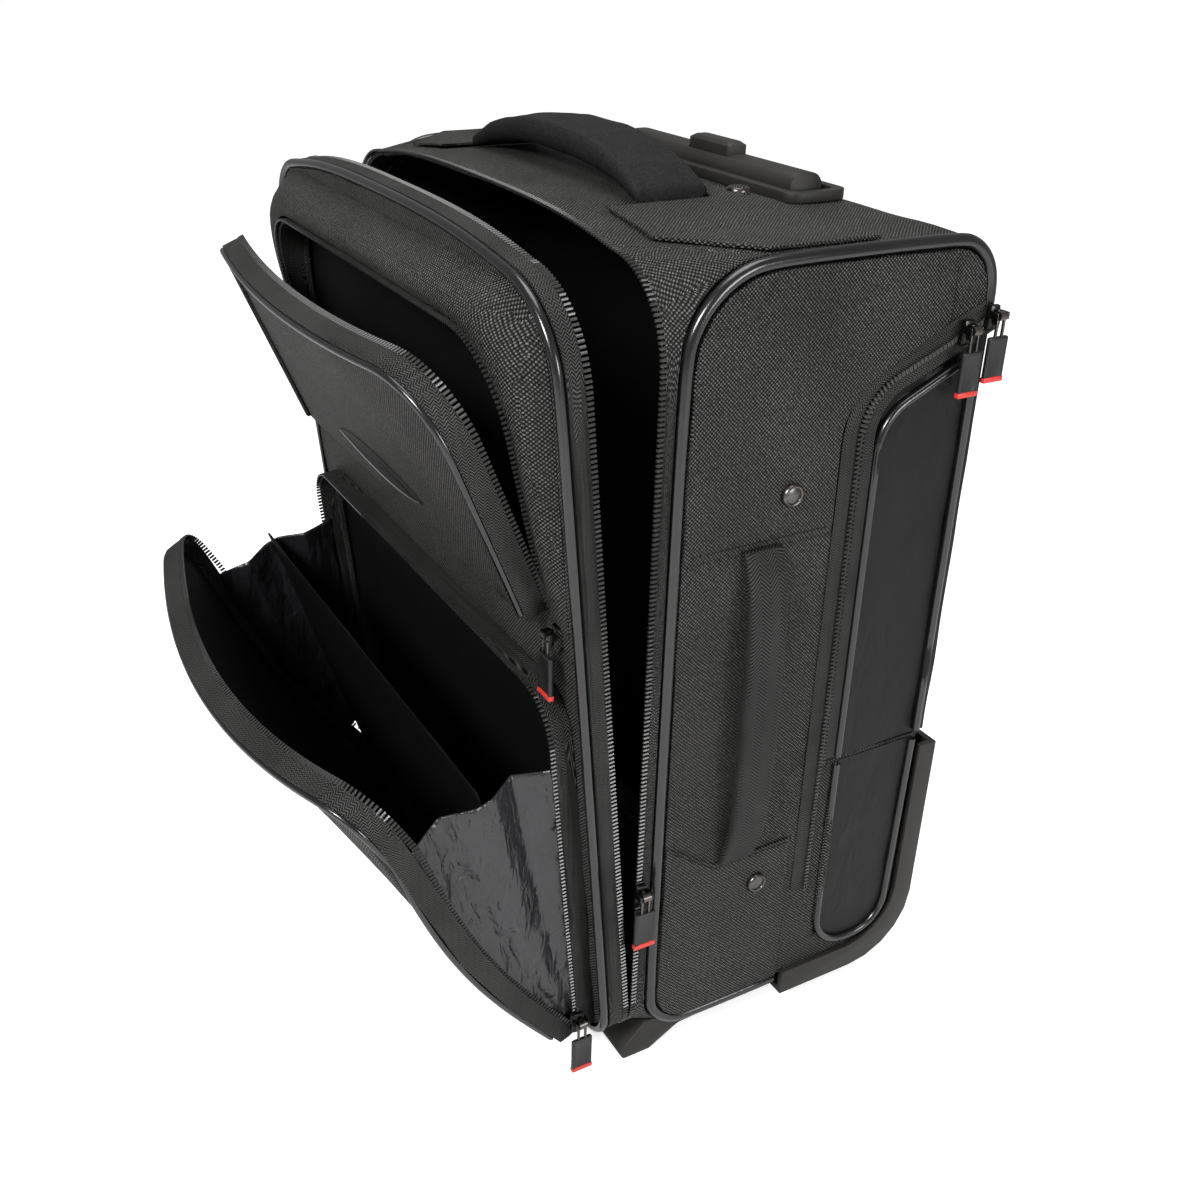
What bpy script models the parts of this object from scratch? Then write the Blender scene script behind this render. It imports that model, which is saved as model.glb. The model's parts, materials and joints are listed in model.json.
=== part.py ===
"""A soft-sided pilot's rolling case that stands upright on two wheels and two front feet.

Metres, +Z up, the front pockets face -Y. The case is drawn from its own corner datum: y = 0 at the front
edge of the side panels and z = 0 at the underside of the body. The last step puts the finished case over
the origin, with its wheels and feet on z = 0. The lid, the pockets, the rear door, the trolley stages, the
wheels and the zip pulls each hang on an empty that lies on their joint's axis.
"""

import math

import bmesh
import bpy
from mathutils import Matrix, Vector

# Body of the case
WIDTH = 0.400
HEIGHT = 0.470
DEPTH = 0.194
WALL = 0.004
GAP = 0.0003
CROWN = 0.009
CROWN_END_Y = 0.125
FRONT_TOP_RADIUS = 0.051
REAR_TOP_RADIUS = 0.030
FRONT_BOTTOM_RADIUS = 0.030
REAR_BOTTOM_RADIUS = 0.080
SIDE_CORNER_RADIUS = 0.042
PIPING_RADIUS = 0.004
PIPING_INSET = 0.002

# Main opening, its zip and the wall behind the main compartment
OPENING_TOP_RADIUS = 0.050
STRIP_FRONT = 0.008
ZIP_RADIUS = 0.0012
ZIP_INSET = 0.002
BACK_WALL_Y = 0.118
MAIN_SLIDER_Z = 0.118

# Rear compartment and its door
DOOR_FRONT_Y = 0.112
DOOR_BOTTOM_Z = 0.165
DOOR_TOP_DROP = 0.044
DOOR_SHOULDER_DROP = 0.034
DOOR_SHOULDER_RADIUS = 0.034
DOOR_PIPING_RADIUS = 0.0022
DOOR_PIPING_INSET = 0.013
REAR_ZIP_START_Z = 0.070
TROLLEY_COVER_Y = 0.1655
COVER_WALL = 0.002

# Lid
LID_OPEN_DEG = 5.0
LID_AXIS_Z = 0.003
WELT_RADIUS = 0.0025
LID_BAND_DEPTH = 0.0122
LID_WALL = 0.003
LID_PIPING_RADIUS = 0.003
LID_FRONT_THICKNESS = 0.003
LID_BOARD_FRONT = 0.0095

# Upper pocket on the lid
UPPER_POCKET_INSET = 0.030
UPPER_BASE_Z = 0.2925
UPPER_TOP_Z = 0.438
UPPER_CORNER_RADIUS = 0.045
UPPER_RIM_LEAN_DEG = 7.0
UPPER_OPEN_DEG = 16.5
UPPER_BOW = 0.016
BADGE_RISE = 0.032
BADGE_HALF_LENGTH = 0.065
BADGE_HALF_HEIGHT = 0.010
BADGE_THICKNESS = 0.0015

# Lower pocket on the lid
LOWER_POCKET_INSET = 0.014
LOWER_TOP_Z = 0.250
LOWER_BASE_Z = 0.006
LOWER_CORNER_RADIUS = 0.030
LOWER_RIM_FRONT = 0.0275
LOWER_OPEN_DEG = 24.5
LOWER_BOW = 0.034
LOWER_BULGE = 0.011
FLAP_LENGTH = 0.2465
FLAP_AXIS_Z = 0.0075
LOWER_RIM_BASE_Z = 0.0085
DIVIDER_HEIGHT = 0.204
POCKET_RIM_DEPTH = 0.012
POCKET_WALL = 0.003
POCKET_PIPING_RADIUS = 0.0018
CLOTH = 0.0012
GUSSET_HEIGHT = 0.196
GUSSET_PLEAT = 0.010

# Carry handles, straps and rivets
TOP_HANDLE_Y = 0.054
TOP_HANDLE_HALF_LENGTH = 0.100
TOP_HANDLE_WIDTH = 0.044
TOP_HANDLE_THICKNESS = 0.017
TOP_HANDLE_RISE = 0.0095
YOKE_FRONT_Y = 0.012
YOKE_REAR_Y = 0.118
PATCH = 0.0015
SIDE_HANDLE_Y = 0.055
SIDE_HANDLE_WIDTH = 0.024
SIDE_HANDLE_THICKNESS = 0.008
SIDE_HANDLE_STAND = 0.008
UPPER_PATCH_Z = 0.320
LOWER_PATCH_Z = 0.117
RIVET_RADIUS = 0.0065
RIVET_HEIGHT = 0.004
RIVET_SIDES = 12
SIDE_RIVETS = ((0.070, 0.347), (0.072, 0.093))
TOP_RIVET_X = 0.089
TOP_RIVET_Y = 0.104

# Trolley
TUBE_X = 0.078
TROLLEY_Y = 0.150
OUTER_TUBE = (0.022, 0.016)
TUBE_WALL = 0.0012
TUBE_PLAY = 0.0004
TUBE_BASE_Z = 0.062
STAGE_STEP = 0.008
BEZEL_HALF_LENGTH = 0.104
BEZEL_WIDTH = 0.042
BEZEL_HEIGHT = 0.006
WELL_DEPTH = 0.018
WELL_WALL = 0.002
GRIP_HALF_LENGTH = 0.090
GRIP_WIDTH = 0.022
GRIP_TOP = 0.0138
BUTTON_HALF_LENGTH = 0.022
BUTTON_WIDTH = 0.014
BUTTON_STAND = 0.0065
BUTTON_TRAVEL = 0.005

# Wheels, guards and feet
GROUND_CLEARANCE = 0.025
WHEEL_RADIUS = 0.032
WHEEL_WIDTH = 0.024
TYRE_THICKNESS = 0.009
WHEEL_INSET = 0.034
WHEEL_Y = 0.160
AXLE_RADIUS = 0.003
GUARD_TOP_Z = 0.155
GUARD_FRONT_Y = 0.100
GUARD_STAND = 0.0095
GUARD_WALL = 0.0042
GUARD_LIP = 0.0035
GUARD_WIDTH = 0.059
GUARD_CORNER_RADIUS = 0.046
CHEEK_GAP = 0.0045
CHEEK_WALL = 0.003
FOOT_WIDTH = 0.050
FOOT_INSET = 0.0023
FOOT_TOE_Y = -0.012
FOOT_TREAD = 0.019
FOOT_ARCH_Y = 0.030
FOOT_ARCH_DROP = 0.013
FOOT_REAR_Y = 0.062

# Zip pulls
PULL_WIDTH = 0.014
PULL_LENGTH = 0.036
PULL_THICKNESS = 0.003
PIN_RADIUS = 0.0012
PIVOT_STAND = 0.008

ARC_STEPS = 5
CORD_SIDES = 8
ZIP_SIDES = 6
HANDLE_ARC_STEPS = 3
HALF = WIDTH / 2
DOOR_TOP_Z = HEIGHT - DOOR_TOP_DROP
DOOR_SHOULDER_Z = DOOR_TOP_Z - DOOR_SHOULDER_DROP
LID_AXIS_Y = -(STRIP_FRONT + WELT_RADIUS + GAP + 0.0004)
EDGE = PIPING_INSET + PIPING_RADIUS + GAP
TOP_EDGE_X = HALF - EDGE
UPPER_HALF_WIDTH = HALF - UPPER_POCKET_INSET
LOWER_HALF_WIDTH = HALF - LOWER_POCKET_INSET
WHEEL_X = HALF - WHEEL_INSET
GUARD_INNER_X = HALF - GUARD_WIDTH
FOOT_INNER_X = HALF - FOOT_WIDTH


# ---------------------------------------------------------------- materials


def material(name, colour, roughness, metallic=0.0):
    made = bpy.data.materials.new(name)
    made.use_nodes = True
    shader = made.node_tree.nodes["Principled BSDF"]
    shader.inputs["Base Color"].default_value = (*colour, 1.0)
    shader.inputs["Roughness"].default_value = roughness
    shader.inputs["Metallic"].default_value = metallic
    made.diffuse_color = (*colour, 1.0)
    return made


FINISHES = {
    "weave": ((0.030, 0.030, 0.029), 0.85, 0.0),
    "satin": ((0.022, 0.022, 0.021), 0.55, 0.0),
    "lining": ((0.008, 0.008, 0.009), 0.75, 0.0),
    "piping": ((0.012, 0.012, 0.012), 0.28, 0.0),
    "zip": ((0.016, 0.016, 0.016), 0.45, 0.0),
    "plastic": ((0.032, 0.031, 0.030), 0.50, 0.0),
    "rubber": ((0.014, 0.014, 0.014), 0.70, 0.0),
    "steel": ((0.330, 0.320, 0.310), 0.30, 1.0),
    "gunmetal": ((0.180, 0.170, 0.160), 0.32, 1.0),
    "red": ((0.620, 0.050, 0.040), 0.45, 0.0),
}


def finish_object(made, finish, parent, smooth_deg=35):
    colour, roughness, metallic = FINISHES[finish]
    made.data.materials.append(material(made.name + "_" + finish, colour, roughness, metallic))
    made.parent = parent
    bpy.context.scene.collection.objects.link(made)
    if made.type == "MESH":
        made.data.shade_smooth()
        made.data.set_sharp_from_angle(angle=math.radians(smooth_deg))
    return made


# ---------------------------------------------------------------- shape helpers


def axis_empty(name, location, turn=None, parent=None):
    empty = bpy.data.objects.new(name, None)
    empty.empty_display_size = 0.02
    empty.location = location
    if turn:
        empty.rotation_euler = turn
    empty.parent = parent
    bpy.context.scene.collection.objects.link(empty)
    return empty


def rounded(corners, steps=ARC_STEPS):
    """Points of a polygon whose corners are (u, v, radius), each rounded with an arc."""
    points = []
    count = len(corners)
    for index, (u, v, radius) in enumerate(corners):
        here = Vector((u, v))
        back = Vector(corners[index - 1][:2]) - here
        ahead = Vector(corners[(index + 1) % count][:2]) - here
        if radius <= 0:
            points.append(here)
            continue
        half_angle = back.angle(ahead) / 2
        reach = radius / math.tan(half_angle)
        centre = here + (back.normalized() + ahead.normalized()).normalized() * radius / math.sin(half_angle)
        start = here + back.normalized() * reach - centre
        sweep = start.angle_signed(here + ahead.normalized() * reach - centre)
        for step in range(steps + 1):
            turn = Matrix.Rotation(-sweep * step / steps, 2)
            points.append(centre + turn @ start)
    return points


def in_yz(outline, x):
    return [Vector((x, u, v)) for u, v in outline]


def in_xz(outline, y):
    return [Vector((u, y, v)) for u, v in outline]


def in_xy(outline, z):
    return [Vector((u, v, z)) for u, v in outline]


def loft_mesh(name, sections, closed=False):
    """A closed solid through equal loops of points, capped at both ends unless it runs in a ring."""
    mesh = bpy.data.meshes.new(name)
    build = bmesh.new()
    rings = [[build.verts.new(point) for point in section] for section in sections]
    count = len(rings[0])
    pairs = list(zip(rings, rings[1:]))
    if closed:
        pairs.append((rings[-1], rings[0]))
    for low, high in pairs:
        for index in range(count):
            after = (index + 1) % count
            build.faces.new((low[index], low[after], high[after], high[index]))
    if not closed:
        build.faces.new(rings[0][::-1])
        build.faces.new(rings[-1])
    bmesh.ops.recalc_face_normals(build, faces=build.faces)
    build.to_mesh(mesh)
    build.free()
    return mesh


def loft(name, sections, finish, parent, closed=False):
    made = bpy.data.objects.new(name, loft_mesh(name, sections, closed))
    return finish_object(made, finish, parent)


def sheet(name, grid, thickness, finish, parent):
    """A closed slab under a grid of points: the grid is its outer face, and it is as thick as stated."""
    rows = len(grid)
    columns = len(grid[0])
    inner = []
    for i in range(rows):
        line = []
        for j in range(columns):
            along = grid[min(i + 1, rows - 1)][j] - grid[max(i - 1, 0)][j]
            across = grid[i][min(j + 1, columns - 1)] - grid[i][max(j - 1, 0)]
            line.append(grid[i][j] - across.cross(along).normalized() * thickness)
        inner.append(line)
    build = bmesh.new()
    outer_verts = [[build.verts.new(point) for point in line] for line in grid]
    inner_verts = [[build.verts.new(point) for point in line] for line in inner]
    for i in range(rows - 1):
        for j in range(columns - 1):
            for verts in (outer_verts, inner_verts):
                build.faces.new((verts[i][j], verts[i][j + 1], verts[i + 1][j + 1], verts[i + 1][j]))
    rim = [(i, 0) for i in range(rows)] + [(rows - 1, j) for j in range(1, columns)]
    rim += [(i, columns - 1) for i in range(rows - 2, -1, -1)] + [(0, j) for j in range(columns - 2, 0, -1)]
    for (i, j), (k, m) in zip(rim, rim[1:] + rim[:1]):
        build.faces.new((outer_verts[i][j], outer_verts[k][m], inner_verts[k][m], inner_verts[i][j]))
    bmesh.ops.recalc_face_normals(build, faces=build.faces)
    mesh = bpy.data.meshes.new(name)
    build.to_mesh(mesh)
    build.free()
    return finish_object(bpy.data.objects.new(name, mesh), finish, parent)


def cord_sections(run, radius, closed=False, sides=CORD_SIDES):
    """Rings of a round cord along a run of points."""
    count = len(run)
    sections = []
    side = None
    for index in range(count):
        before = run[index - 1] if closed or index > 0 else run[index]
        after = run[(index + 1) % count] if closed or index < count - 1 else run[index]
        along = (after - before).normalized()
        if side is None:
            side = along.orthogonal()
        side = (side - along * side.dot(along)).normalized()
        up = along.cross(side)
        loop = []
        for step in range(sides):
            angle = 2 * math.pi * step / sides
            loop.append(run[index] + (side * math.cos(angle) + up * math.sin(angle)) * radius)
        sections.append(loop)
    return sections


def bead(name, run, radius, finish, parent, closed=False, sides=CORD_SIDES):
    return loft(name, cord_sections(run, radius, closed, sides), finish, parent, closed)


def box_outline(u0, u1, v0, v1, radius=0.0, steps=ARC_STEPS):
    return rounded([(u0, v0, radius), (u1, v0, radius), (u1, v1, radius), (u0, v1, radius)], steps)


def block(name, low, high, finish, parent, radius=0.0):
    outline = box_outline(low[0], high[0], low[1], high[1], radius)
    return loft(name, [in_xy(outline, low[2]), in_xy(outline, high[2])], finish, parent)


def cylinder_sections(axis, centre, radius, low, high, sides=24):
    """Two circles about the X or Y axis through centre, at low and high along it."""
    loops = []
    for place in (low, high):
        loop = []
        for index in range(sides):
            angle = 2 * math.pi * index / sides
            u = centre[0] + radius * math.cos(angle)
            v = centre[1] + radius * math.sin(angle)
            loop.append(Vector((place, u, v)) if axis == "X" else Vector((u, place, v)))
        loops.append(loop)
    return loops


def tool(name, sections, parent=None, closed=False):
    """A hidden solid that a Boolean uses."""
    made = bpy.data.objects.new(name, loft_mesh(name, sections, closed))
    made.parent = parent
    made.hide_render = True
    made.display_type = "WIRE"
    bpy.context.scene.collection.objects.link(made)
    return made


def boolean(target, other, operation="DIFFERENCE"):
    cut = target.modifiers.new(operation.lower(), "BOOLEAN")
    cut.operation = operation
    cut.solver = "EXACT"
    cut.object = other


def keep_result(target, tools):
    """Swaps the object's mesh for its evaluated one, so that copies can share it, and drops its tools."""
    depsgraph = bpy.context.evaluated_depsgraph_get()
    done = bpy.data.meshes.new_from_object(target.evaluated_get(depsgraph))
    target.modifiers.clear()
    target.data = done
    for made in tools:
        bpy.data.objects.remove(made)
    return target


# ---------------------------------------------------------------- outlines shared by several pieces


def crown(x, y):
    """How far the padded top stands above its flat edge."""
    across = max(0.0, 1.0 - abs(x / (HALF - OPENING_TOP_RADIUS)) ** 3)
    along = min(1.0, max(0.0, (CROWN_END_Y - y) / (CROWN_END_Y / 3)))
    return CROWN * across * along


def side_outline(inset):
    """The side of the case in (y, z), anticlockwise from the bottom front corner."""
    return [
        (inset, inset, FRONT_BOTTOM_RADIUS - inset),
        (DEPTH - inset, inset, SIDE_CORNER_RADIUS - inset),
        (DEPTH - inset, HEIGHT - inset, REAR_TOP_RADIUS - inset),
        (inset, HEIGHT - inset, FRONT_TOP_RADIUS - inset),
    ]


def opening_path(inset, low_z=0.0):
    """The edge of the main opening in (x, z), from the bottom right over the top to the bottom left."""
    top_radius = OPENING_TOP_RADIUS - inset
    foot_radius = FRONT_BOTTOM_RADIUS - inset
    half = HALF - inset
    top = HEIGHT - inset
    foot = low_z + inset
    right = []
    for step in range(ARC_STEPS + 1):
        turn = math.pi / 2 * step / ARC_STEPS
        right.append(Vector((half - foot_radius * (1 - math.sin(turn)), foot + foot_radius * (1 - math.cos(turn)))))
    for step in range(ARC_STEPS + 1):
        turn = math.pi / 2 * step / ARC_STEPS
        right.append(Vector((half - top_radius * (1 - math.cos(turn)), top - top_radius * (1 - math.sin(turn)))))
    for share in (0.75, 0.5, 0.25):
        x = (half - top_radius) * share
        right.append(Vector((x, top + crown(x, 0.0))))
    left = [Vector((-point.x, point.y)) for point in reversed(right)]
    return right + [Vector((0.0, top + crown(0.0, 0.0)))] + left


def arch(half, base, top, radius):
    """An upside-down U in (x, z): up the right side, over and down the left."""
    corner = rounded([(half, base, 0), (half, top, radius), (-half, top, radius), (-half, base, 0)])
    return corner


def door_outline(clearance, rear, low, high):
    """The side of the rear compartment's door in (y, z)."""
    slope_end = (rear, high)
    return rounded([
        (DOOR_FRONT_Y + clearance, low, 0),
        (rear, low, 0),
        (*slope_end, 0),
        (DOOR_FRONT_Y + clearance, DOOR_SHOULDER_Z - clearance, DOOR_SHOULDER_RADIUS),
    ])


# ---------------------------------------------------------------- case


def side_panels(root):
    """Flat stiffened sides, cut back round the rear compartment's door."""
    corners = side_outline(EDGE)
    outline = rounded([
        corners[0],
        corners[1],
        (DEPTH - EDGE, DOOR_BOTTOM_Z - GAP, 0),
        (DOOR_FRONT_Y - GAP, DOOR_BOTTOM_Z - GAP, 0),
        (DOOR_FRONT_Y - GAP, DOOR_SHOULDER_Z + GAP, DOOR_SHOULDER_RADIUS),
        (DEPTH - EDGE, DOOR_TOP_Z + GAP, 0),
        corners[2],
        corners[3],
    ])
    for name, side in (("side_panel_right", 1), ("side_panel_left", -1)):
        faces = [in_yz(outline, side * (HALF - WALL)), in_yz(outline, side * HALF)]
        lower_rear_piping(loft(name, faces, "weave", root), side, root)


def front_strips(root):
    """The band between the side piping and the main zip, with its two soft corners."""
    bead_x = HALF - PIPING_INSET
    reach = PIPING_RADIUS + 2 * GAP
    turns = [-math.pi / 2 * (1 - step / ARC_STEPS) for step in range(ARC_STEPS + 1)]
    turns += [math.pi / 2 * step / ARC_STEPS for step in range(ARC_STEPS + 1)]
    for name, side in (("front_strip_right", 1), ("front_strip_left", -1)):
        sections = []
        for index, turn in enumerate(turns):
            lower = index <= ARC_STEPS
            radius = FRONT_BOTTOM_RADIUS if lower else FRONT_TOP_RADIUS
            zip_radius = FRONT_BOTTOM_RADIUS if lower else OPENING_TOP_RADIUS
            centre_z = radius if lower else HEIGHT - radius
            zip_centre_z = zip_radius if lower else HEIGHT - zip_radius
            outward = Vector((0, -math.cos(turn), math.sin(turn)))
            sideways = Vector((1, 0, 0))
            bend = abs(turn)
            seat = Vector((bead_x, radius, centre_z)) + outward * (radius - PIPING_INSET)
            edge = seat + (outward * math.cos(bend) - sideways * math.sin(bend)) * reach
            across = (sideways * math.cos(bend) + outward * math.sin(bend)) * WALL / 2
            zip_out = Vector((math.cos(turn), 0, math.sin(turn)))
            zip_edge = Vector((HALF - zip_radius, -STRIP_FRONT, zip_centre_z))
            rim = zip_edge + zip_out * zip_radius
            loop = [edge + across, edge - across, rim - zip_out * WALL, rim]
            sections.append([Vector((side * point.x, point.y, point.z)) for point in loop])
        loft(name, sections, "weave", root)


def top_front_y(x):
    """Front edge of the top: straight behind the zip, then slanting back along the soft corner."""
    start = HALF - OPENING_TOP_RADIUS
    share = max(0.0, (abs(x) - start) / (TOP_EDGE_X - start))
    slant_gap = 2 * GAP if share > 0 else 0.0
    return -STRIP_FRONT + share * (FRONT_TOP_RADIUS + STRIP_FRONT) + slant_gap


def top_panel(root):
    """Padded top, rolled over the rear edge down to the rear compartment's zip."""
    start = HALF - OPENING_TOP_RADIUS
    half_columns = [0.0, start * 0.3, start * 0.55, start * 0.75, start * 0.9, start, TOP_EDGE_X - 2 * GAP]
    columns = [-x for x in half_columns[:0:-1]] + half_columns
    straight = [FRONT_TOP_RADIUS + 0.006, CROWN_END_Y * 2 / 3, CROWN_END_Y, DEPTH - REAR_TOP_RADIUS]
    grid = []
    for x in columns:
        line = [Vector((x, top_front_y(x), HEIGHT + crown(x, 0.0)))]
        line += [Vector((x, y, HEIGHT + crown(x, y))) for y in straight]
        for step in range(1, ARC_STEPS + 1):
            turn = math.pi / 2 * step / ARC_STEPS
            y = DEPTH - REAR_TOP_RADIUS * (1 - math.sin(turn))
            line.append(Vector((x, y, HEIGHT - REAR_TOP_RADIUS * (1 - math.cos(turn)))))
        line.append(Vector((x, DEPTH, DOOR_TOP_Z + GAP)))
        grid.append(line)
    panel = sheet("top_panel", grid[::-1], WALL, "weave", root)
    slot = box_outline(
        -BEZEL_HALF_LENGTH + WELL_WALL * 2,
        BEZEL_HALF_LENGTH - WELL_WALL * 2,
        TROLLEY_Y - BEZEL_WIDTH / 2 + WELL_WALL * 2,
        TROLLEY_Y + BEZEL_WIDTH / 2 - WELL_WALL * 2,
    )
    boolean(panel, tool("top_slot", [in_xy(slot, HEIGHT - 0.02), in_xy(slot, HEIGHT + 0.02)], root))


def bottom_panels(root):
    """Flat bottom, and the curved lower back between the two wheel guards."""
    slant = HALF - FRONT_BOTTOM_RADIUS
    rear = GUARD_FRONT_Y - 0.002
    plan = rounded([
        (-slant, -STRIP_FRONT, 0),
        (slant, -STRIP_FRONT, 0),
        (TOP_EDGE_X - GAP, FRONT_BOTTOM_RADIUS + 2 * GAP, 0),
        (TOP_EDGE_X - GAP, rear, 0),
        (-TOP_EDGE_X + GAP, rear, 0),
        (-TOP_EDGE_X + GAP, FRONT_BOTTOM_RADIUS + 2 * GAP, 0),
    ])
    plan = [point + Vector((0, 2 * GAP)) if point.y < 0 and abs(point.x) > slant else point for point in plan]
    loft("bottom_panel", [in_xy(plan, 0.0), in_xy(plan, WALL)], "weave", root)
    start = rear + GAP
    band = [Vector((start, 0.0))]
    inner = [Vector((start, WALL))]
    centre = Vector((DEPTH - REAR_BOTTOM_RADIUS, REAR_BOTTOM_RADIUS))
    for step in range(ARC_STEPS * 2 + 1):
        turn = math.pi / 2 * step / (ARC_STEPS * 2)
        ray = Vector((math.sin(turn), -math.cos(turn)))
        band.append(centre + ray * REAR_BOTTOM_RADIUS)
        inner.append(centre + ray * (REAR_BOTTOM_RADIUS - WALL))
    band.append(Vector((DEPTH, DOOR_BOTTOM_Z - GAP)))
    inner.append(Vector((DEPTH - WALL, DOOR_BOTTOM_Z - GAP)))
    outline = band + inner[::-1]
    half = GUARD_INNER_X - 0.003
    panel = loft("rear_lower_panel", [in_yz(outline, -half), in_yz(outline, half)], "weave", root)
    wide = HALF - WALL - GAP
    sill = box_outline(DEPTH - WALL, DEPTH, GUARD_TOP_Z + 0.002, DOOR_BOTTOM_Z - GAP)
    boolean(panel, tool("rear_sill", [in_yz(sill, -wide), in_yz(sill, wide)], root), "UNION")


def back_wall(root):
    """Board behind the main compartment."""
    half = HALF - WALL - GAP
    low = (-half, BACK_WALL_Y, WALL + 3 * GAP)
    block("main_back_wall", low, (half, BACK_WALL_Y + WALL, HEIGHT - EDGE - GAP), "lining", root)


def case_piping(root):
    """Glossy cord round each side, from the guard forward, up, over and down to the door."""
    outline = rounded([
        (GUARD_FRONT_Y - 0.003, PIPING_INSET, 0),
        (PIPING_INSET, PIPING_INSET, FRONT_BOTTOM_RADIUS - PIPING_INSET),
        (PIPING_INSET, HEIGHT - PIPING_INSET, FRONT_TOP_RADIUS - PIPING_INSET),
        (DEPTH - PIPING_INSET, HEIGHT - PIPING_INSET, REAR_TOP_RADIUS - PIPING_INSET),
        (DEPTH - PIPING_INSET, DOOR_TOP_Z + 2 * ZIP_RADIUS + 3 * GAP, 0),
    ])
    for name, side in (("side_piping_right", 1), ("side_piping_left", -1)):
        bead(name, in_yz(outline, side * (HALF - PIPING_INSET)), PIPING_RADIUS, "piping", root)


def main_zip(root):
    run = in_xz(opening_path(ZIP_INSET), -(STRIP_FRONT + ZIP_RADIUS + GAP))
    return bead("main_zip", run, ZIP_RADIUS, "zip", root, sides=ZIP_SIDES)


def rear_zip_climb(offset, low, end_y):
    """The rear zip in (y, z), from low up the side and along its slope to end_y."""
    full = door_outline(offset, DEPTH, low, DOOR_TOP_Z - offset)
    slope = (DOOR_TOP_Z - DOOR_SHOULDER_Z) / (DEPTH - DOOR_FRONT_Y)
    climb = [full[0]] + [point for point in full[:2:-1] if point.x < end_y - 0.004]
    return climb + [Vector((end_y, DOOR_TOP_Z - offset - slope * (DEPTH - end_y)))]


def rear_zip(root):
    """Case side of the rear zip: up the right side, across the back and down the left side."""
    climb = rear_zip_climb(-ZIP_RADIUS - GAP, REAR_ZIP_START_Z, DEPTH - 0.004)
    x = HALF + ZIP_RADIUS + GAP
    back_y = DEPTH + ZIP_RADIUS + GAP
    back_z = DOOR_TOP_Z + ZIP_RADIUS + GAP
    corner = [Vector((x - 0.001, back_y - 0.001, back_z)), Vector((x - 0.005, back_y, back_z))]
    right = in_yz(climb, x) + corner
    left = [Vector((-point.x, point.y, point.z)) for point in reversed(right)]
    return bead("rear_zip", right + left, ZIP_RADIUS, "zip", root, sides=ZIP_SIDES)


def patches(root):
    """Woven cloth sewn over the right side, above and below the side handle."""
    x = HALF + GAP
    upper = rounded([
        (EDGE, UPPER_PATCH_Z, 0),
        (DOOR_FRONT_Y - 0.012, UPPER_PATCH_Z, 0),
        (DOOR_FRONT_Y - 0.012, DOOR_SHOULDER_Z, DOOR_SHOULDER_RADIUS),
        (DEPTH - 0.030, DOOR_TOP_Z, 0),
        (DEPTH - 0.030, HEIGHT - EDGE, 0),
        (EDGE, HEIGHT - EDGE, FRONT_TOP_RADIUS - EDGE),
    ])
    lower = rounded([
        (EDGE, EDGE, FRONT_BOTTOM_RADIUS - EDGE),
        (GUARD_FRONT_Y - 0.004, EDGE, 0),
        (GUARD_FRONT_Y - 0.004, LOWER_PATCH_Z, 0),
        (SIDE_HANDLE_Y - SIDE_HANDLE_WIDTH / 2 - 0.002, LOWER_PATCH_Z, 0),
        (EDGE, LOWER_PATCH_Z + 0.024, 0),
    ])
    loft("side_upper_patch", [in_yz(upper, x), in_yz(upper, x + PATCH)], "weave", root)
    loft("side_lower_patch", [in_yz(lower, x), in_yz(lower, x + PATCH)], "weave", root)
    x_axis, y_axis, z_axis = Vector((1, 0, 0)), Vector((0, 1, 0)), Vector((0, 0, 1))
    for name, (y, z) in zip(("side_rivet_upper", "side_rivet_lower"), SIDE_RIVETS):
        seat = Vector((x + PATCH + GAP, y, z))
        loft(name, rivet_sections(seat, x_axis, y_axis, z_axis), "gunmetal", root)


def yokes(root):
    """Woven cloth over both ends of the top handle, reaching behind them to a rivet."""
    at_handle = TOP_HANDLE_HALF_LENGTH + 0.003
    behind = TOP_RIVET_X - RIVET_RADIUS - 0.003
    handle_rear = TOP_HANDLE_Y + TOP_HANDLE_WIDTH / 2
    outer = TOP_EDGE_X - 0.002
    knee = HALF - OPENING_TOP_RADIUS
    for name, side in (("top_yoke_right", 1), ("top_yoke_left", -1)):
        grid = []
        for column in range(5):
            line = []
            for y in (YOKE_FRONT_Y, FRONT_TOP_RADIUS + 0.006, handle_rear + 0.001, handle_rear + 0.007, YOKE_REAR_Y):
                inner = at_handle if y < handle_rear + 0.004 else behind
                x = (inner, max(inner, knee * 0.75), knee * 0.9, knee, outer)[column]
                place_y = max(y, top_front_y(x) + 0.003)
                line.append(Vector((side * x, place_y, HEIGHT + crown(x, place_y) + 4 * GAP + PATCH)))
            grid.append(line)
        order = grid[::-1] if side > 0 else grid
        yoke = sheet(name, order, PATCH, "weave", root)
        seat = Vector((side * TOP_RIVET_X, TOP_RIVET_Y, HEIGHT + crown(TOP_RIVET_X, TOP_RIVET_Y) + 3 * GAP + PATCH))
        stud = rivet_sections(seat, Vector((0, 0, 1)), Vector((1, 0, 0)), Vector((0, 1, 0)))
        boolean(yoke, tool(name + "_rivet", stud, root), "UNION")


def section_loop(centre, across, up, width, thickness, radius):
    """A rounded rectangle about a centre, in the plane of two unit directions."""
    outline = box_outline(-width / 2, width / 2, -thickness / 2, thickness / 2, radius, HANDLE_ARC_STEPS)
    return [centre + across * u + up * v for u, v in outline]


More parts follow.
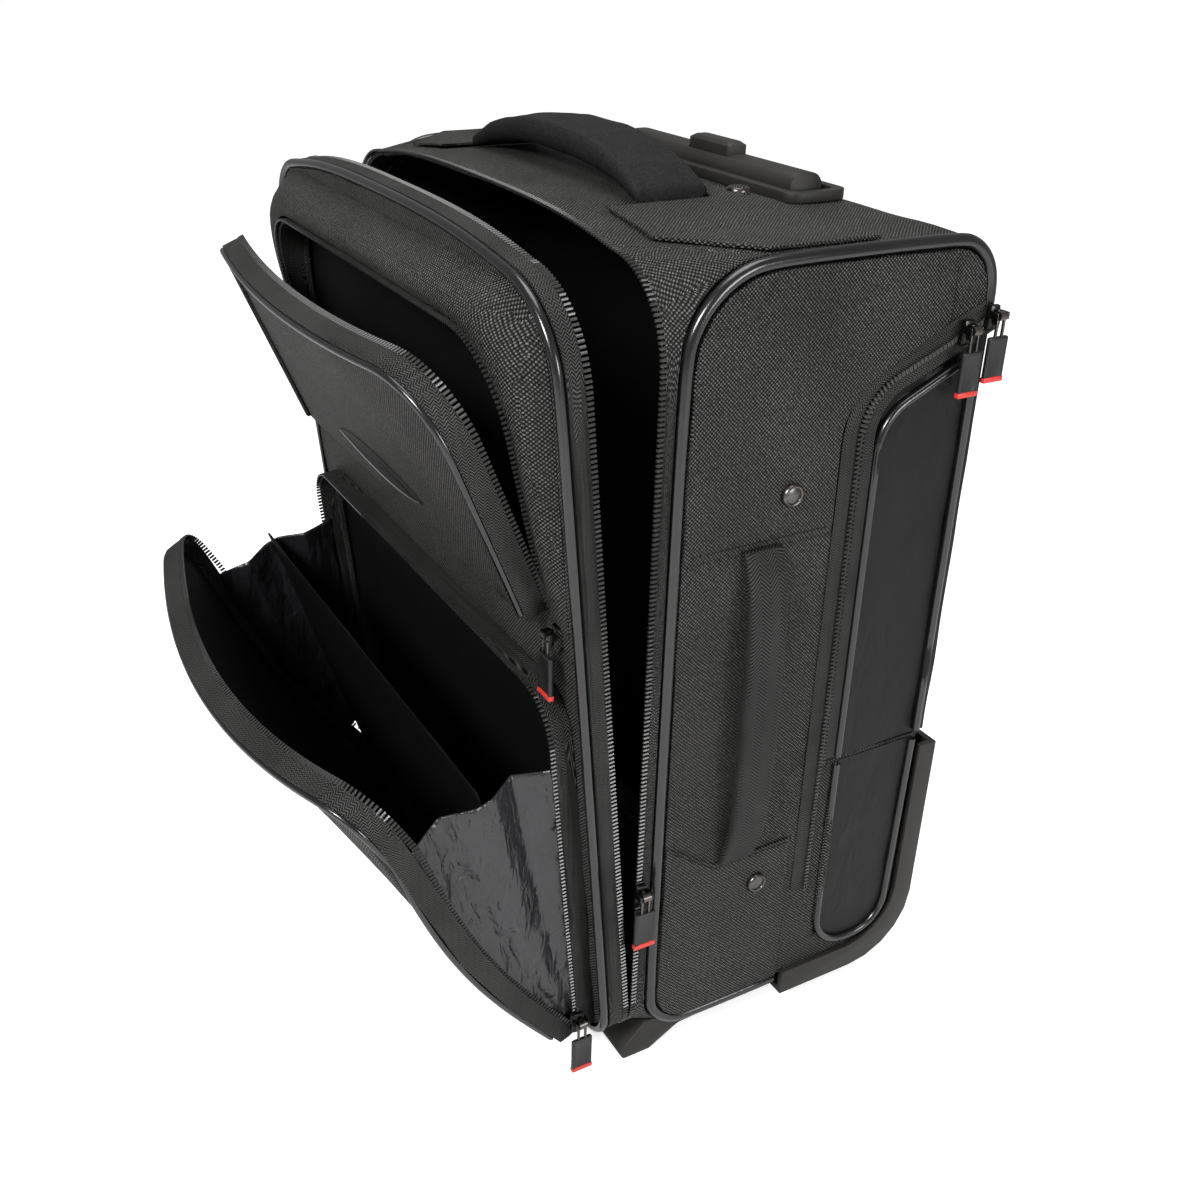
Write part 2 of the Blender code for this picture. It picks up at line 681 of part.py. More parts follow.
def top_handle(root):
    """Padded grip that arches over the top between the two yokes."""
    sections = []
    half = TOP_HANDLE_HALF_LENGTH
    stations = 10
    for step in range(stations + 1):
        share = -1 + 2 * step / stations
        x = half * share
        lift = TOP_HANDLE_RISE * (1 - share ** 2) ** 0.8
        thickness = TOP_HANDLE_THICKNESS * (1 - 0.55 * abs(share) ** 3)
        base = HEIGHT + max(crown(x, TOP_HANDLE_Y - TOP_HANDLE_WIDTH / 2), crown(x, TOP_HANDLE_Y)) + GAP
        centre = Vector((x, TOP_HANDLE_Y, base + lift + thickness / 2))
        loop = section_loop(centre, Vector((0, 1, 0)), Vector((0, 0, 1)), TOP_HANDLE_WIDTH, thickness,
                            thickness * 0.42)
        sections.append(loop)
    loft("top_handle", sections, "weave", root)


def side_handle(root):
    """Padded strap on the right side, its ends sewn down between the two patches."""
    low = LOWER_PATCH_Z + GAP
    high = UPPER_PATCH_Z - GAP
    sections = []
    stations = 10
    for step in range(stations + 1):
        share = -1 + 2 * step / stations
        z = (low + high) / 2 + (high - low) / 2 * share
        rise = (1 - abs(share) ** 5)
        thickness = SIDE_HANDLE_THICKNESS * (0.5 + 0.5 * rise)
        x = HALF + GAP + SIDE_HANDLE_STAND * rise + thickness / 2
        centre = Vector((x, SIDE_HANDLE_Y, z))
        loop = section_loop(centre, Vector((0, 1, 0)), Vector((1, 0, 0)), SIDE_HANDLE_WIDTH, thickness,
                            thickness * 0.4)
        sections.append(loop)
    loft("side_handle", sections, "weave", root)


def rivet_sections(centre, normal, u_axis, v_axis):
    rings = []
    for radius, height in ((1.0, 0.0), (1.0, 0.25), (0.8, 0.7), (0.4, 1.0)):
        loop = []
        for index in range(RIVET_SIDES):
            angle = 2 * math.pi * index / RIVET_SIDES
            spread = (u_axis * math.cos(angle) + v_axis * math.sin(angle)) * radius * RIVET_RADIUS
            loop.append(centre + spread + normal * height * RIVET_HEIGHT)
        rings.append(loop)
    return rings


# ---------------------------------------------------------------- rear door


def rear_door(hinge, shift):
    """Door of the rear compartment: a back with two side walls, hinged above the wheel guards."""
    outline = door_outline(GAP + 0.0002, DEPTH, DOOR_BOTTOM_Z + GAP, DOOR_TOP_Z - GAP)
    moved = [point + Vector((shift.y, shift.z)) for point in outline]
    door = loft("rear_door", [in_yz(moved, -HALF), in_yz(moved, HALF)], "satin", hinge)
    hollow = box_outline(-HALF + WALL, HALF - WALL, -DEPTH, DEPTH - WALL + shift.y)
    boolean(door, tool("door_hollow", [in_xy(hollow, -0.1), in_xy(hollow, HEIGHT)], hinge))
    inset = DOOR_PIPING_INSET
    run = rounded([
        (DOOR_FRONT_Y + inset, DOOR_BOTTOM_Z + 0.003, 0),
        (DOOR_FRONT_Y + inset, DOOR_SHOULDER_Z - inset, DOOR_SHOULDER_RADIUS - inset / 2),
        (DEPTH - 0.008, DOOR_TOP_Z - inset - 0.006, 0.008),
        (DEPTH - 0.008, DOOR_BOTTOM_Z + 0.003, 0),
    ])
    chain = rear_zip_climb(ZIP_RADIUS + GAP, DOOR_BOTTOM_Z + 0.003, DEPTH - 0.034)
    for tag, side in (("right", 1), ("left", -1)):
        x = side * (HALF + DOOR_PIPING_RADIUS - 0.0005)
        cord = cord_sections([point + shift for point in in_yz(run, x)], DOOR_PIPING_RADIUS)
        boolean(door, tool("door_piping_" + tag, cord, hinge), "UNION")
        x = side * (HALF + ZIP_RADIUS - 0.0004)
        teeth = cord_sections([point + shift for point in in_yz(chain, x)], ZIP_RADIUS, sides=ZIP_SIDES)
        boolean(door, tool("door_zip_" + tag, teeth, hinge), "UNION")
    across = [Vector((x, DEPTH + ZIP_RADIUS - 0.0004, DOOR_TOP_Z - ZIP_RADIUS - 2 * GAP)) + shift
              for x in (HALF - 0.012, 0.012 - HALF)]
    boolean(door, tool("door_zip_back", cord_sections(across, ZIP_RADIUS, sides=ZIP_SIDES), hinge), "UNION")


def lower_rear_piping(panel, side, root):
    """The cord that closes the rear section's outline below the door, sewn to the side panel."""
    inset = DOOR_PIPING_INSET
    run = rounded([
        (DOOR_FRONT_Y + inset, DOOR_BOTTOM_Z - 0.003, 0),
        (DOOR_FRONT_Y + inset, 0.017, 0.026),
        (DEPTH - 0.014, 0.017, 0.024),
        (DEPTH - 0.010, DOOR_BOTTOM_Z - 0.003, 0),
    ])
    x = side * (HALF + DOOR_PIPING_RADIUS - 0.0005)
    cord = cord_sections(in_yz(run, x), DOOR_PIPING_RADIUS)
    boolean(panel, tool(panel.name + "_cord", cord, root), "UNION")


# ---------------------------------------------------------------- lid and its pockets


def lid_outline(inset):
    """The lid's rim in (x, z) about the lid's axis."""
    return [Vector((point.x, point.y - LID_AXIS_Z)) for point in opening_path(inset)]


def ring_sections(outer, inner, y0, y1):
    """Four-cornered sections of a band between two outlines, y0 to y1, for a ring or an arch."""
    outer_pairs = zip(in_xz(outer, y0), in_xz(outer, y1))
    inner_pairs = zip(in_xz(inner, y1), in_xz(inner, y0))
    return [[a, b, c, d] for (a, b), (c, d) in zip(outer_pairs, inner_pairs)]


def lid_shell(lid):
    band_rear = -2 * ZIP_RADIUS - 2 * GAP
    outer = lid_outline(0.0)
    inner = lid_outline(LID_WALL)
    loft("lid_band", ring_sections(outer, inner, band_rear, -LID_BAND_DEPTH), "weave", lid, closed=True)
    board = lid_outline(LID_WALL + GAP)
    board_rear = -LID_BOARD_FRONT + LID_WALL
    loft("lid_board", [in_xz(board, board_rear), in_xz(board, -LID_BOARD_FRONT)], "lining", lid)
    piping_y = -(LID_BAND_DEPTH + LID_PIPING_RADIUS + GAP)
    piping = in_xz(lid_outline(PIPING_INSET), piping_y)
    bead("lid_piping", piping, LID_PIPING_RADIUS, "piping", lid, closed=True)
    chain = in_xz([point for point in lid_outline(ZIP_INSET) if point.y > 0], -(ZIP_RADIUS + GAP))
    bead("lid_zip", chain, ZIP_RADIUS, "zip", lid, sides=ZIP_SIDES)
    reach = HALF - FRONT_BOTTOM_RADIUS - 2 * WELT_RADIUS
    welt = [Vector((-reach, 0, 0)), Vector((reach, 0, 0))]
    bead("lid_hinge_welt", welt, WELT_RADIUS, "piping", lid)


def lid_front(lid):
    """Front cloth of the lid, with the mouths of its two pockets."""
    rear = -(LID_BAND_DEPTH + 2 * GAP)
    front = rear - LID_FRONT_THICKNESS
    face = lid_outline(PIPING_INSET + LID_PIPING_RADIUS + GAP)
    panel = loft("lid_front_panel", [in_xz(face, rear), in_xz(face, front)], "weave", lid)
    mouth_inset = POCKET_WALL + 0.002
    upper = box_outline(
        -UPPER_HALF_WIDTH + mouth_inset,
        UPPER_HALF_WIDTH - mouth_inset,
        UPPER_BASE_Z + 0.010,
        UPPER_TOP_Z - mouth_inset,
        UPPER_CORNER_RADIUS - mouth_inset,
    )
    lower = box_outline(
        -LOWER_HALF_WIDTH + mouth_inset,
        LOWER_HALF_WIDTH - mouth_inset,
        LOWER_BASE_Z + mouth_inset,
        LOWER_TOP_Z - mouth_inset,
        LOWER_CORNER_RADIUS - mouth_inset,
    )
    for name, mouth in (("upper_mouth", upper), ("lower_mouth", lower)):
        boolean(panel, tool(name, [in_xz(mouth, rear + 0.002), in_xz(mouth, front - 0.002)], lid))
    return panel, -front


def upper_rim(lid, face):
    """Wedge-shaped wall round the upper pocket's mouth, deeper towards the top."""
    outer = arch(UPPER_HALF_WIDTH, UPPER_BASE_Z + 0.002, UPPER_TOP_Z, UPPER_CORNER_RADIUS)
    inner = arch(UPPER_HALF_WIDTH - POCKET_WALL, UPPER_BASE_Z + 0.002, UPPER_TOP_Z - POCKET_WALL,
                 UPPER_CORNER_RADIUS - POCKET_WALL)
    lean = math.tan(math.radians(UPPER_RIM_LEAN_DEG))
    sections = []
    for a, b in zip(outer, inner):
        front_a = face + GAP + 0.0004 + (a.y - UPPER_BASE_Z) * lean
        front_b = face + GAP + 0.0004 + (b.y - UPPER_BASE_Z) * lean
        rear = face + GAP
        sections.append([
            Vector((a.x, -rear, a.y)),
            Vector((a.x, -front_a, a.y)),
            Vector((b.x, -front_b, b.y)),
            Vector((b.x, -rear, b.y)),
        ])
    loft("upper_pocket_rim", sections, "weave", lid)


def lower_rim(lid, face):
    """Wall round the lower pocket's mouth, open at the bottom where the flap is hinged."""
    base = LOWER_RIM_BASE_Z
    outer = arch(LOWER_HALF_WIDTH, base, LOWER_TOP_Z, LOWER_CORNER_RADIUS)
    inner = arch(LOWER_HALF_WIDTH - POCKET_WALL, base, LOWER_TOP_Z - POCKET_WALL,
                 LOWER_CORNER_RADIUS - POCKET_WALL)
    return loft("lower_pocket_rim", ring_sections(outer, inner, -(face + GAP), -LOWER_RIM_FRONT), "weave", lid)


def panel_point(x, s, length, half, bow, bulge, depth):
    """A point of a soft flap hinged at its lower edge: x across, s up it, depth behind its face."""
    across = 1 - (x / half) ** 2
    swell = bow * across * (max(s, 0.0) / length) ** 1.6
    swell += bulge * math.sin(math.pi * min(1.0, max(s, 0.0) / (0.8 * length)))
    return Vector((x, -swell - depth, s))


def soft_tray(name, finish, parent, half, length, radius, bow, bulge, start):
    """A flap with a turned-in rim, as one closed solid: a front skin and the rim round three sides."""
    columns = 12
    rows = 8
    depth = POCKET_RIM_DEPTH

    def half_at(s, inset):
        room = length - inset - s
        corner = radius - inset
        side = half - inset
        if room >= corner:
            return side
        fall = corner - max(room, 0.0)
        return side - corner + math.sqrt(max(corner ** 2 - fall ** 2, 0.0))

    def face(inset, lift, low):
        levels = [low + (length - radius - low) * step / (rows - 4) for step in range(rows - 3)]
        top = length - inset
        levels += [top - (radius - inset) * (1 - math.sin(math.pi / 2 * step / 4)) for step in range(1, 4)]
        levels.append(top - 0.0002)
        grid = []
        for s in levels:
            reach = half_at(s, inset)
            spread = [-reach + 2 * reach * step / columns for step in range(columns + 1)]
            grid.append([panel_point(x, s, length, half, bow, bulge, lift) for x in spread])
        return grid

    outer_front = face(0.0, depth, start)
    outer_rear = face(0.0, 0.0, start)
    inner_rear = face(POCKET_WALL, 0.0, start)
    inner_front = face(POCKET_WALL, depth - POCKET_WALL, start)
    build = bmesh.new()
    layers = [[[build.verts.new(p) for p in line] for line in grid]
              for grid in (outer_front, outer_rear, inner_rear, inner_front)]
    count = len(outer_front)

    def rim_of(layer):
        left = [layer[i][0] for i in range(count)]
        top = layer[count - 1][1:-1]
        right = [layer[i][columns] for i in range(count - 1, -1, -1)]
        return left + list(top) + right

    for layer in (layers[0], layers[3]):
        for i in range(count - 1):
            for j in range(columns):
                build.faces.new((layer[i][j], layer[i][j + 1], layer[i + 1][j + 1], layer[i + 1][j]))
    rims = [rim_of(layer) for layer in layers]
    for low, high in zip(rims, rims[1:]):
        for index in range(len(low) - 1):
            build.faces.new((low[index], low[index + 1], high[index + 1], high[index]))
    for layer_low, layer_high in ((layers[0], layers[3]),):
        for j in range(columns):
            build.faces.new((layer_low[0][j], layer_low[0][j + 1], layer_high[0][j + 1], layer_high[0][j]))
    for end in (0, -1):
        build.faces.new([rim[end] for rim in rims])
    unused = [vert for vert in build.verts if not vert.link_faces]
    bmesh.ops.delete(build, geom=unused, context="VERTS")
    bmesh.ops.recalc_face_normals(build, faces=build.faces)
    mesh = bpy.data.meshes.new(name)
    build.to_mesh(mesh)
    build.free()
    return finish_object(bpy.data.objects.new(name, mesh), finish, parent)


def upper_panel(hinge):
    length = (UPPER_TOP_Z - UPPER_BASE_Z) / math.cos(math.radians(UPPER_RIM_LEAN_DEG))
    panel = soft_tray("upper_pocket_panel", "weave", hinge, UPPER_HALF_WIDTH, length, UPPER_CORNER_RADIUS,
                      UPPER_BOW, 0.0, 0.0015)
    half = UPPER_HALF_WIDTH
    radius = UPPER_CORNER_RADIUS
    depth = POCKET_RIM_DEPTH + POCKET_PIPING_RADIUS * 0.6
    inset = 0.004
    outline = arch(half - inset, 0.004, length - inset, radius - inset)
    cord = [panel_point(p.x, p.y, length, half, UPPER_BOW, 0.0, depth) for p in outline]
    boolean(panel, tool("upper_pocket_cord", cord_sections(cord, POCKET_PIPING_RADIUS), hinge), "UNION")
    sections = []
    for step in range(13):
        share = -1 + step / 6
        rise = BADGE_HALF_HEIGHT * (1 - share ** 2) + 0.0004
        loop = []
        for z, out in ((-rise, 0.0), (rise, 0.0), (rise, BADGE_THICKNESS), (-rise, BADGE_THICKNESS)):
            seat = panel_point(BADGE_HALF_LENGTH * share, BADGE_RISE + z, length, half, UPPER_BOW, 0.0,
                               POCKET_RIM_DEPTH + GAP + 0.0003)
            loop.append(seat + Vector((0, -out, 0)))
        sections.append(loop)
    loft("badge_plate", sections, "gunmetal", hinge)


def lower_flap(hinge):
    half = LOWER_HALF_WIDTH - 0.001
    flap = soft_tray("lower_flap", "weave", hinge, half, FLAP_LENGTH, LOWER_CORNER_RADIUS, LOWER_BOW,
                     LOWER_BULGE, 2 * GAP)
    depth = POCKET_RIM_DEPTH + POCKET_PIPING_RADIUS * 0.6
    inset = 0.004
    outline = arch(half - inset, 0.006, FLAP_LENGTH - inset, LOWER_CORNER_RADIUS - inset)
    cord = []
    for p, q in zip(outline, outline[1:] + outline[-1:]):
        for share in (0.0, 0.25, 0.5, 0.75) if (q - p).length > 0.05 else (0.0,):
            place = p.lerp(q, share)
            cord.append(panel_point(place.x, place.y, FLAP_LENGTH, half, LOWER_BOW, LOWER_BULGE, depth))
    boolean(flap, tool("lower_flap_cord", cord_sections(cord, POCKET_PIPING_RADIUS), hinge), "UNION")


def divider(hinge):
    """Middle leaf of the lower pocket, which swings half as far as the flap."""
    half = LOWER_HALF_WIDTH - POCKET_WALL - CLOTH - 0.0021
    outline = box_outline(-half, half, 0.004, DIVIDER_HEIGHT)
    loft("divider", [in_xz(outline, 0.0), in_xz(outline, -CLOTH)], "lining", hinge)


def gussets(lid, flap_axis):
    """Pleated side cloth between the lid and the flap, one fan fold on each side of the divider."""
    at_rim = LOWER_HALF_WIDTH - POCKET_WALL - GAP
    at_flap = at_rim - 0.001
    turn = math.radians(LOWER_OPEN_DEG)
    leaves = (-0.05, 0.24, 0.43, 0.57, 0.78, 1.04)
    folds = (0.0, 1.0, 0.0, 0.0, 1.0, 0.0)
    for name, side in (("gusset_right", 1), ("gusset_left", -1)):
        grid = []
        for share, fold in zip(leaves, folds):
            angle = turn * share
            along = Vector((0, -math.sin(angle), math.cos(angle)))
            forward = Vector((0, -math.cos(angle), -math.sin(angle)))
            line = []
            for reach in (0.08, 0.30, 0.55, 0.80, 1.0):
                s = GUSSET_HEIGHT * reach
                swell = -panel_point(LOWER_HALF_WIDTH, s, FLAP_LENGTH, LOWER_HALF_WIDTH, 0, LOWER_BULGE, 0).y
                x = at_rim + (at_flap - at_rim) * max(share, 0.0) - GUSSET_PLEAT * fold * reach
                bend = forward * swell * max(share, 0.0)
                line.append(flap_axis + Vector((side * x, 0, 0)) + along * s + bend)
            grid.append(line)
        order = grid if side > 0 else grid[::-1]
        sheet(name, order, CLOTH, "satin", lid)


# ---------------------------------------------------------------- trolley


def tube_sections(x, y, width, depth, wall, z0, z1):
    """Ring sections of a rounded rectangular tube that stands on z0."""
    radius = min(width, depth) * 0.25
    outer = box_outline(x - width / 2, x + width / 2, y - depth / 2, y + depth / 2, radius)
    inner = box_outline(x - width / 2 + wall, x + width / 2 - wall, y - depth / 2 + wall, y + depth / 2 - wall,
                        radius - wall)
    return [[Vector((*a, z0)), Vector((*a, z1)), Vector((*b, z1)), Vector((*b, z0))] for a, b in zip(outer, inner)]


def tube_pair(name, shrink, z0, z1, finish, parent, shift=Vector()):
    width = OUTER_TUBE[0] - 2 * shrink
    depth = OUTER_TUBE[1] - 2 * shrink
    for word, side in (("_right", 1), ("_left", -1)):
        rings = tube_sections(side * TUBE_X, TROLLEY_Y, width, depth, TUBE_WALL, z0, z1)
        moved = [[point + shift for point in ring] for ring in rings]
        loft(name + word, moved, finish, parent, closed=True)


def trolley(root):
    """Tubes, their base, the well in the top, and the two moving stages with grip and button."""
    well_floor = HEIGHT - WELL_DEPTH
    step = TUBE_WALL + TUBE_PLAY
    tube_pair("outer_tube", 0.0, TUBE_BASE_Z + GAP, well_floor - GAP, "steel", root)
    base_half = TUBE_X + OUTER_TUBE[0]
    low = (-base_half, BACK_WALL_Y + WALL + GAP, TUBE_BASE_Z - 0.014)
    cover_rear = TROLLEY_COVER_Y + COVER_WALL
    base = block("trolley_base", low, (base_half, cover_rear, TUBE_BASE_Z), "plastic", root, 0.002)
    cover = box_outline(-base_half + 0.004, base_half - 0.004, TROLLEY_COVER_Y, cover_rear - 0.0002)
    levels = [in_xy(cover, TUBE_BASE_Z - 0.004), in_xy(cover, well_floor - 0.004)]
    boolean(base, tool("tube_cover", levels, root), "UNION")

    length, width = BEZEL_HALF_LENGTH, BEZEL_WIDTH / 2
    plan = box_outline(-length, length, TROLLEY_Y - width, TROLLEY_Y + width, 0.010)
    bezel = loft("trolley_bezel", [in_xy(plan, HEIGHT + GAP), in_xy(plan, HEIGHT + BEZEL_HEIGHT)], "plastic", root)
    margin = WELL_WALL * 2 + GAP
    well = box_outline(-length + margin, length - margin, TROLLEY_Y - width + margin, TROLLEY_Y + width - margin,
                       0.008)
    boolean(bezel, tool("well_body", [in_xy(well, well_floor), in_xy(well, HEIGHT + 0.002)], root), "UNION")
    margin += WELL_WALL
    inside = box_outline(-length + margin, length - margin, TROLLEY_Y - width + margin,
                         TROLLEY_Y + width - margin, 0.006)
    hollow = [in_xy(inside, well_floor + WELL_WALL), in_xy(inside, HEIGHT + 0.02)]
    boolean(bezel, tool("well_hollow", hollow, root))
    hole_x = OUTER_TUBE[0] / 2 - step + TUBE_PLAY
    hole_y = OUTER_TUBE[1] / 2 - step + TUBE_PLAY
    for name, side in (("tube_hole_right", 1), ("tube_hole_left", -1)):
        x = side * TUBE_X
        hole = box_outline(x - hole_x, x + hole_x, TROLLEY_Y - hole_y, TROLLEY_Y + hole_y)
        boolean(bezel, tool(name, [in_xy(hole, well_floor - 0.01), in_xy(hole, HEIGHT)], root))

    middle = axis_empty("trolley_middle", (0, TROLLEY_Y, well_floor), parent=root)
    shift = Vector((0, -TROLLEY_Y, -well_floor))
    middle_top = well_floor + WELL_WALL
    tube_pair("middle_tube", step, TUBE_BASE_Z + STAGE_STEP, middle_top, "steel", middle, shift)
    top = axis_empty("trolley_top", (0, 0, 0), parent=middle)
    grip_low = well_floor + WELL_WALL + 2 * GAP
    tube_pair("inner_tube", 2 * step, TUBE_BASE_Z + 2 * STAGE_STEP, grip_low - GAP, "steel", top, shift)
    half = GRIP_WIDTH / 2
    grip_high = HEIGHT + GRIP_TOP
    profile = rounded([(-half, grip_low, 0.003), (half, grip_low, 0.003), (half, grip_high, 0.008),
                       (-half, grip_high, 0.008)])
    ends = [in_yz([Vector((u, v - well_floor)) for u, v in profile], side * GRIP_HALF_LENGTH) for side in (-1, 1)]
    grip = loft("trolley_grip", ends, "plastic", top)
    pocket_low = grip_high - BUTTON_TRAVEL - 0.004 - well_floor
    pocket = box_outline(-BUTTON_HALF_LENGTH - GAP, BUTTON_HALF_LENGTH + GAP, -BUTTON_WIDTH / 2 - GAP,
                         BUTTON_WIDTH / 2 + GAP, 0.003)
    boolean(grip, tool("button_pocket", [in_xy(pocket, pocket_low), in_xy(pocket, HEIGHT)], top))
    press = axis_empty("button_axis", (0, 0, grip_high - well_floor), parent=top)
    body = box_outline(-BUTTON_HALF_LENGTH, BUTTON_HALF_LENGTH, -BUTTON_WIDTH / 2, BUTTON_WIDTH / 2, 0.0027)
    crest = box_outline(-BUTTON_HALF_LENGTH + 0.003, BUTTON_HALF_LENGTH - 0.003, -BUTTON_WIDTH / 2 + 0.0025,
                        BUTTON_WIDTH / 2 - 0.0025, 0.0027)
    levels = [in_xy(body, -0.004 + GAP), in_xy(body, BUTTON_STAND - 0.002), in_xy(crest, BUTTON_STAND)]
    loft("release_button", levels, "plastic", press)


# ---------------------------------------------------------------- wheels, guards and feet


def guard_profile(offset):
    """The guard's outer face in (y, z), moved inwards by an offset."""
    stand = GUARD_STAND - offset
    radius = GUARD_CORNER_RADIUS - offset
    return rounded([
        (GUARD_FRONT_Y, -stand, 0),
        (DEPTH + stand - 0.001, -stand, radius),
        (DEPTH + stand, GUARD_TOP_Z, 0),
    ])


def corner_guard(name, side, root, wheel_z):
    outer = guard_profile(0.0)
    inner = guard_profile(GUARD_WALL)
    band = outer + inner[::-1]
    lip_x = HALF + GAP
    outside = lip_x + GUARD_LIP
    guard = loft(name, [in_yz(band, side * GUARD_INNER_X), in_yz(band, side * outside)], "plastic", root)
    lip_inner = rounded([
        (GUARD_FRONT_Y, 0.008, 0),
        (DEPTH - 0.006, 0.008, 0.036),
        (DEPTH - 0.004, GUARD_TOP_Z, 0),
    ])
    overlap = guard_profile(GUARD_WALL / 2)
    lip = overlap + lip_inner[::-1]
    lip_tool = tool(name + "_lip", [in_yz(lip, side * lip_x), in_yz(lip, side * outside)], root)
    boolean(guard, lip_tool, "UNION")
    seat = WHEEL_WIDTH / 2 + CHEEK_GAP
    for tag, inward in (("inner", -1), ("outer", 1)):
        near = WHEEL_X + inward * seat
        far = near + inward * CHEEK_WALL
        bottom = -GUARD_STAND + GUARD_WALL / 2
        cheek = rounded([
            (WHEEL_Y - 0.024, bottom, 0),
            (WHEEL_Y + 0.020, bottom, 0),
            (WHEEL_Y + 0.012, wheel_z + 0.012, 0.008),
            (WHEEL_Y - 0.014, wheel_z + 0.012, 0.008),
        ])
        plate = tool(name + "_cheek_" + tag, [in_yz(cheek, side * near), in_yz(cheek, side * far)], root)
        boolean(guard, plate, "UNION")
    arch_half = WHEEL_WIDTH / 2 + CHEEK_GAP / 2
    well = cylinder_sections("X", (WHEEL_Y, wheel_z), WHEEL_RADIUS + 0.003, side * (WHEEL_X - arch_half),
                             side * (WHEEL_X + arch_half))
    boolean(guard, tool(name + "_well", well, root))
    bore = cylinder_sections("X", (WHEEL_Y, wheel_z), AXLE_RADIUS + GAP, side * (WHEEL_X - 0.03),
                             side * (WHEEL_X + 0.03), 16)
    boolean(guard, tool(name + "_bore", bore, root))


def turned(profile, sides=20):
    """Sections of a ring turned about the X axis from its (x, radius) profile."""
    sections = []
    for index in range(sides):
        angle = 2 * math.pi * index / sides
        sections.append([Vector((x, r * math.cos(angle), r * math.sin(angle))) for x, r in profile])
    return sections


def wheel(name, side, root, wheel_z):
    spin = axis_empty(name + "_axis", (side * WHEEL_X, WHEEL_Y, wheel_z), parent=root)
    half = WHEEL_WIDTH / 2
    rim = WHEEL_RADIUS - TYRE_THICKNESS
    tyre = [(-half, rim), (-half, WHEEL_RADIUS - 0.003), (-half + 0.003, WHEEL_RADIUS),
            (half - 0.003, WHEEL_RADIUS), (half, WHEEL_RADIUS - 0.003), (half, rim)]
    loft(name + "_tyre", turned(tyre), "rubber", spin, closed=True)
    bore = AXLE_RADIUS + GAP
    seat = rim - GAP
    hub = [(-half, bore), (-half, 0.008), (-half + 0.004, 0.010), (-half + 0.004, seat - 0.004),
           (-half + 0.001, seat), (half - 0.001, seat), (half - 0.004, seat - 0.004), (half - 0.004, 0.010),
           (half, 0.008), (half, bore)]
    loft(name + "_hub", turned(hub), "plastic", spin, closed=True)
    reach = WHEEL_WIDTH / 2 + CHEEK_GAP + CHEEK_WALL + 0.0005
    ends = (side * (WHEEL_X - reach), side * (WHEEL_X + reach))
    loft(name + "_axle", cylinder_sections("X", (WHEEL_Y, wheel_z), AXLE_RADIUS, *ends, 16), "steel", root)


def front_foot(name, side, root):
    """Sloping foot under the front corner, flat where it meets the floor."""
    tip = -GROUND_CLEARANCE
    profile = rounded([
        (FOOT_TOE_Y + 0.002, tip, 0.002),
        (FOOT_TOE_Y + FOOT_TREAD + 0.002, tip, 0.002),
        (FOOT_ARCH_Y, -FOOT_ARCH_DROP, 0.010),
        (FOOT_REAR_Y, -FOOT_ARCH_DROP + 0.001, 0.003),
        (FOOT_REAR_Y, -GAP, 0),
        (FRONT_BOTTOM_RADIUS, -GAP, 0),
        (0.006, -GAP, 0),
        (FOOT_TOE_Y, tip + 0.006, 0.003),
    ])
    outer = TOP_EDGE_X - FOOT_INSET
    loft(name, [in_yz(profile, side * FOOT_INNER_X), in_yz(profile, side * outer)], "plastic", root)


# ---------------------------------------------------------------- zip sliders and pulls


def slider_sections():
    """Slider body, two ears and a cross pin at the origin, drawn for a pull that faces +X."""
    body_front = -0.0040
    outline = rounded([(-0.0045, -0.009, 0.002), (0.0045, -0.009, 0.002), (0.0035, 0.004, 0.002),
                       (-0.0035, 0.004, 0.002)])
    shapes = [[in_yz(outline, -PIVOT_STAND), in_yz(outline, body_front)]]
    for side in (1, -1):
        ear = box_outline(side * 0.0037 - 0.0005, side * 0.0037 + 0.0005, -0.0016, 0.0016)
        shapes.append([in_yz(ear, body_front - 0.001), in_yz(ear, 0.0016)])
    shapes.append(cylinder_sections("Y", (0, 0), PIN_RADIUS, -0.0037, 0.0037, 10))
    return shapes


def pull_mesh():
    """Pull tab hanging from a small barrel on the cross pin."""
    low = -PULL_LENGTH
    half = PULL_WIDTH / 2
    outline = rounded([(-half, low, 0.002), (half, low, 0.002), (half, -0.009, 0.003), (-half, -0.009, 0.003)])
    thick = PULL_THICKNESS / 2
    made = bpy.data.objects.new("pull_shape", loft_mesh("pull", [in_yz(outline, -thick), in_yz(outline, thick)]))
    bpy.context.scene.collection.objects.link(made)
    neck = box_outline(-0.0024, 0.0024, -0.0095, -0.0022)
    tools = [
        tool("neck", [in_yz(neck, -0.001), in_yz(neck, 0.001)]),
        tool("barrel", cylinder_sections("Y", (0, 0), 0.0028, -0.0026, 0.0026, 14)),
    ]
    for other in tools:
        boolean(made, other, "UNION")
    bore = tool("barrel_bore", cylinder_sections("Y", (0, 0), PIN_RADIUS + GAP, -0.01, 0.01, 14))
    boolean(made, bore)
    keep_result(made, tools + [bore])
    mesh = made.data
    bpy.data.objects.remove(made)
    return mesh


def slider_and_pull(label, carrier, parent, place, facing_deg, upright_deg, pull_shape):
    """A slider joined to the chain or cloth that carries it, and its pull on the slider's cross pin."""
    turn = (math.radians(upright_deg), 0, 0)
    stand = axis_empty(label + "_slider_seat", place, turn, parent)
    seat = axis_empty(label + "_slider_turn", (0, 0, 0), (0, 0, math.radians(facing_deg)), stand)
    for index, sections in enumerate(slider_sections()):
        boolean(carrier, tool(label + "_slider_" + str(index), sections, seat), "UNION")
    pull_axis = axis_empty(label + "_pull_axis", (0, 0, 0), parent=seat)
    pull = bpy.data.objects.new(label + "_pull", pull_shape.copy())
    finish_object(pull, "rubber", pull_axis)


# ---------------------------------------------------------------- assembly


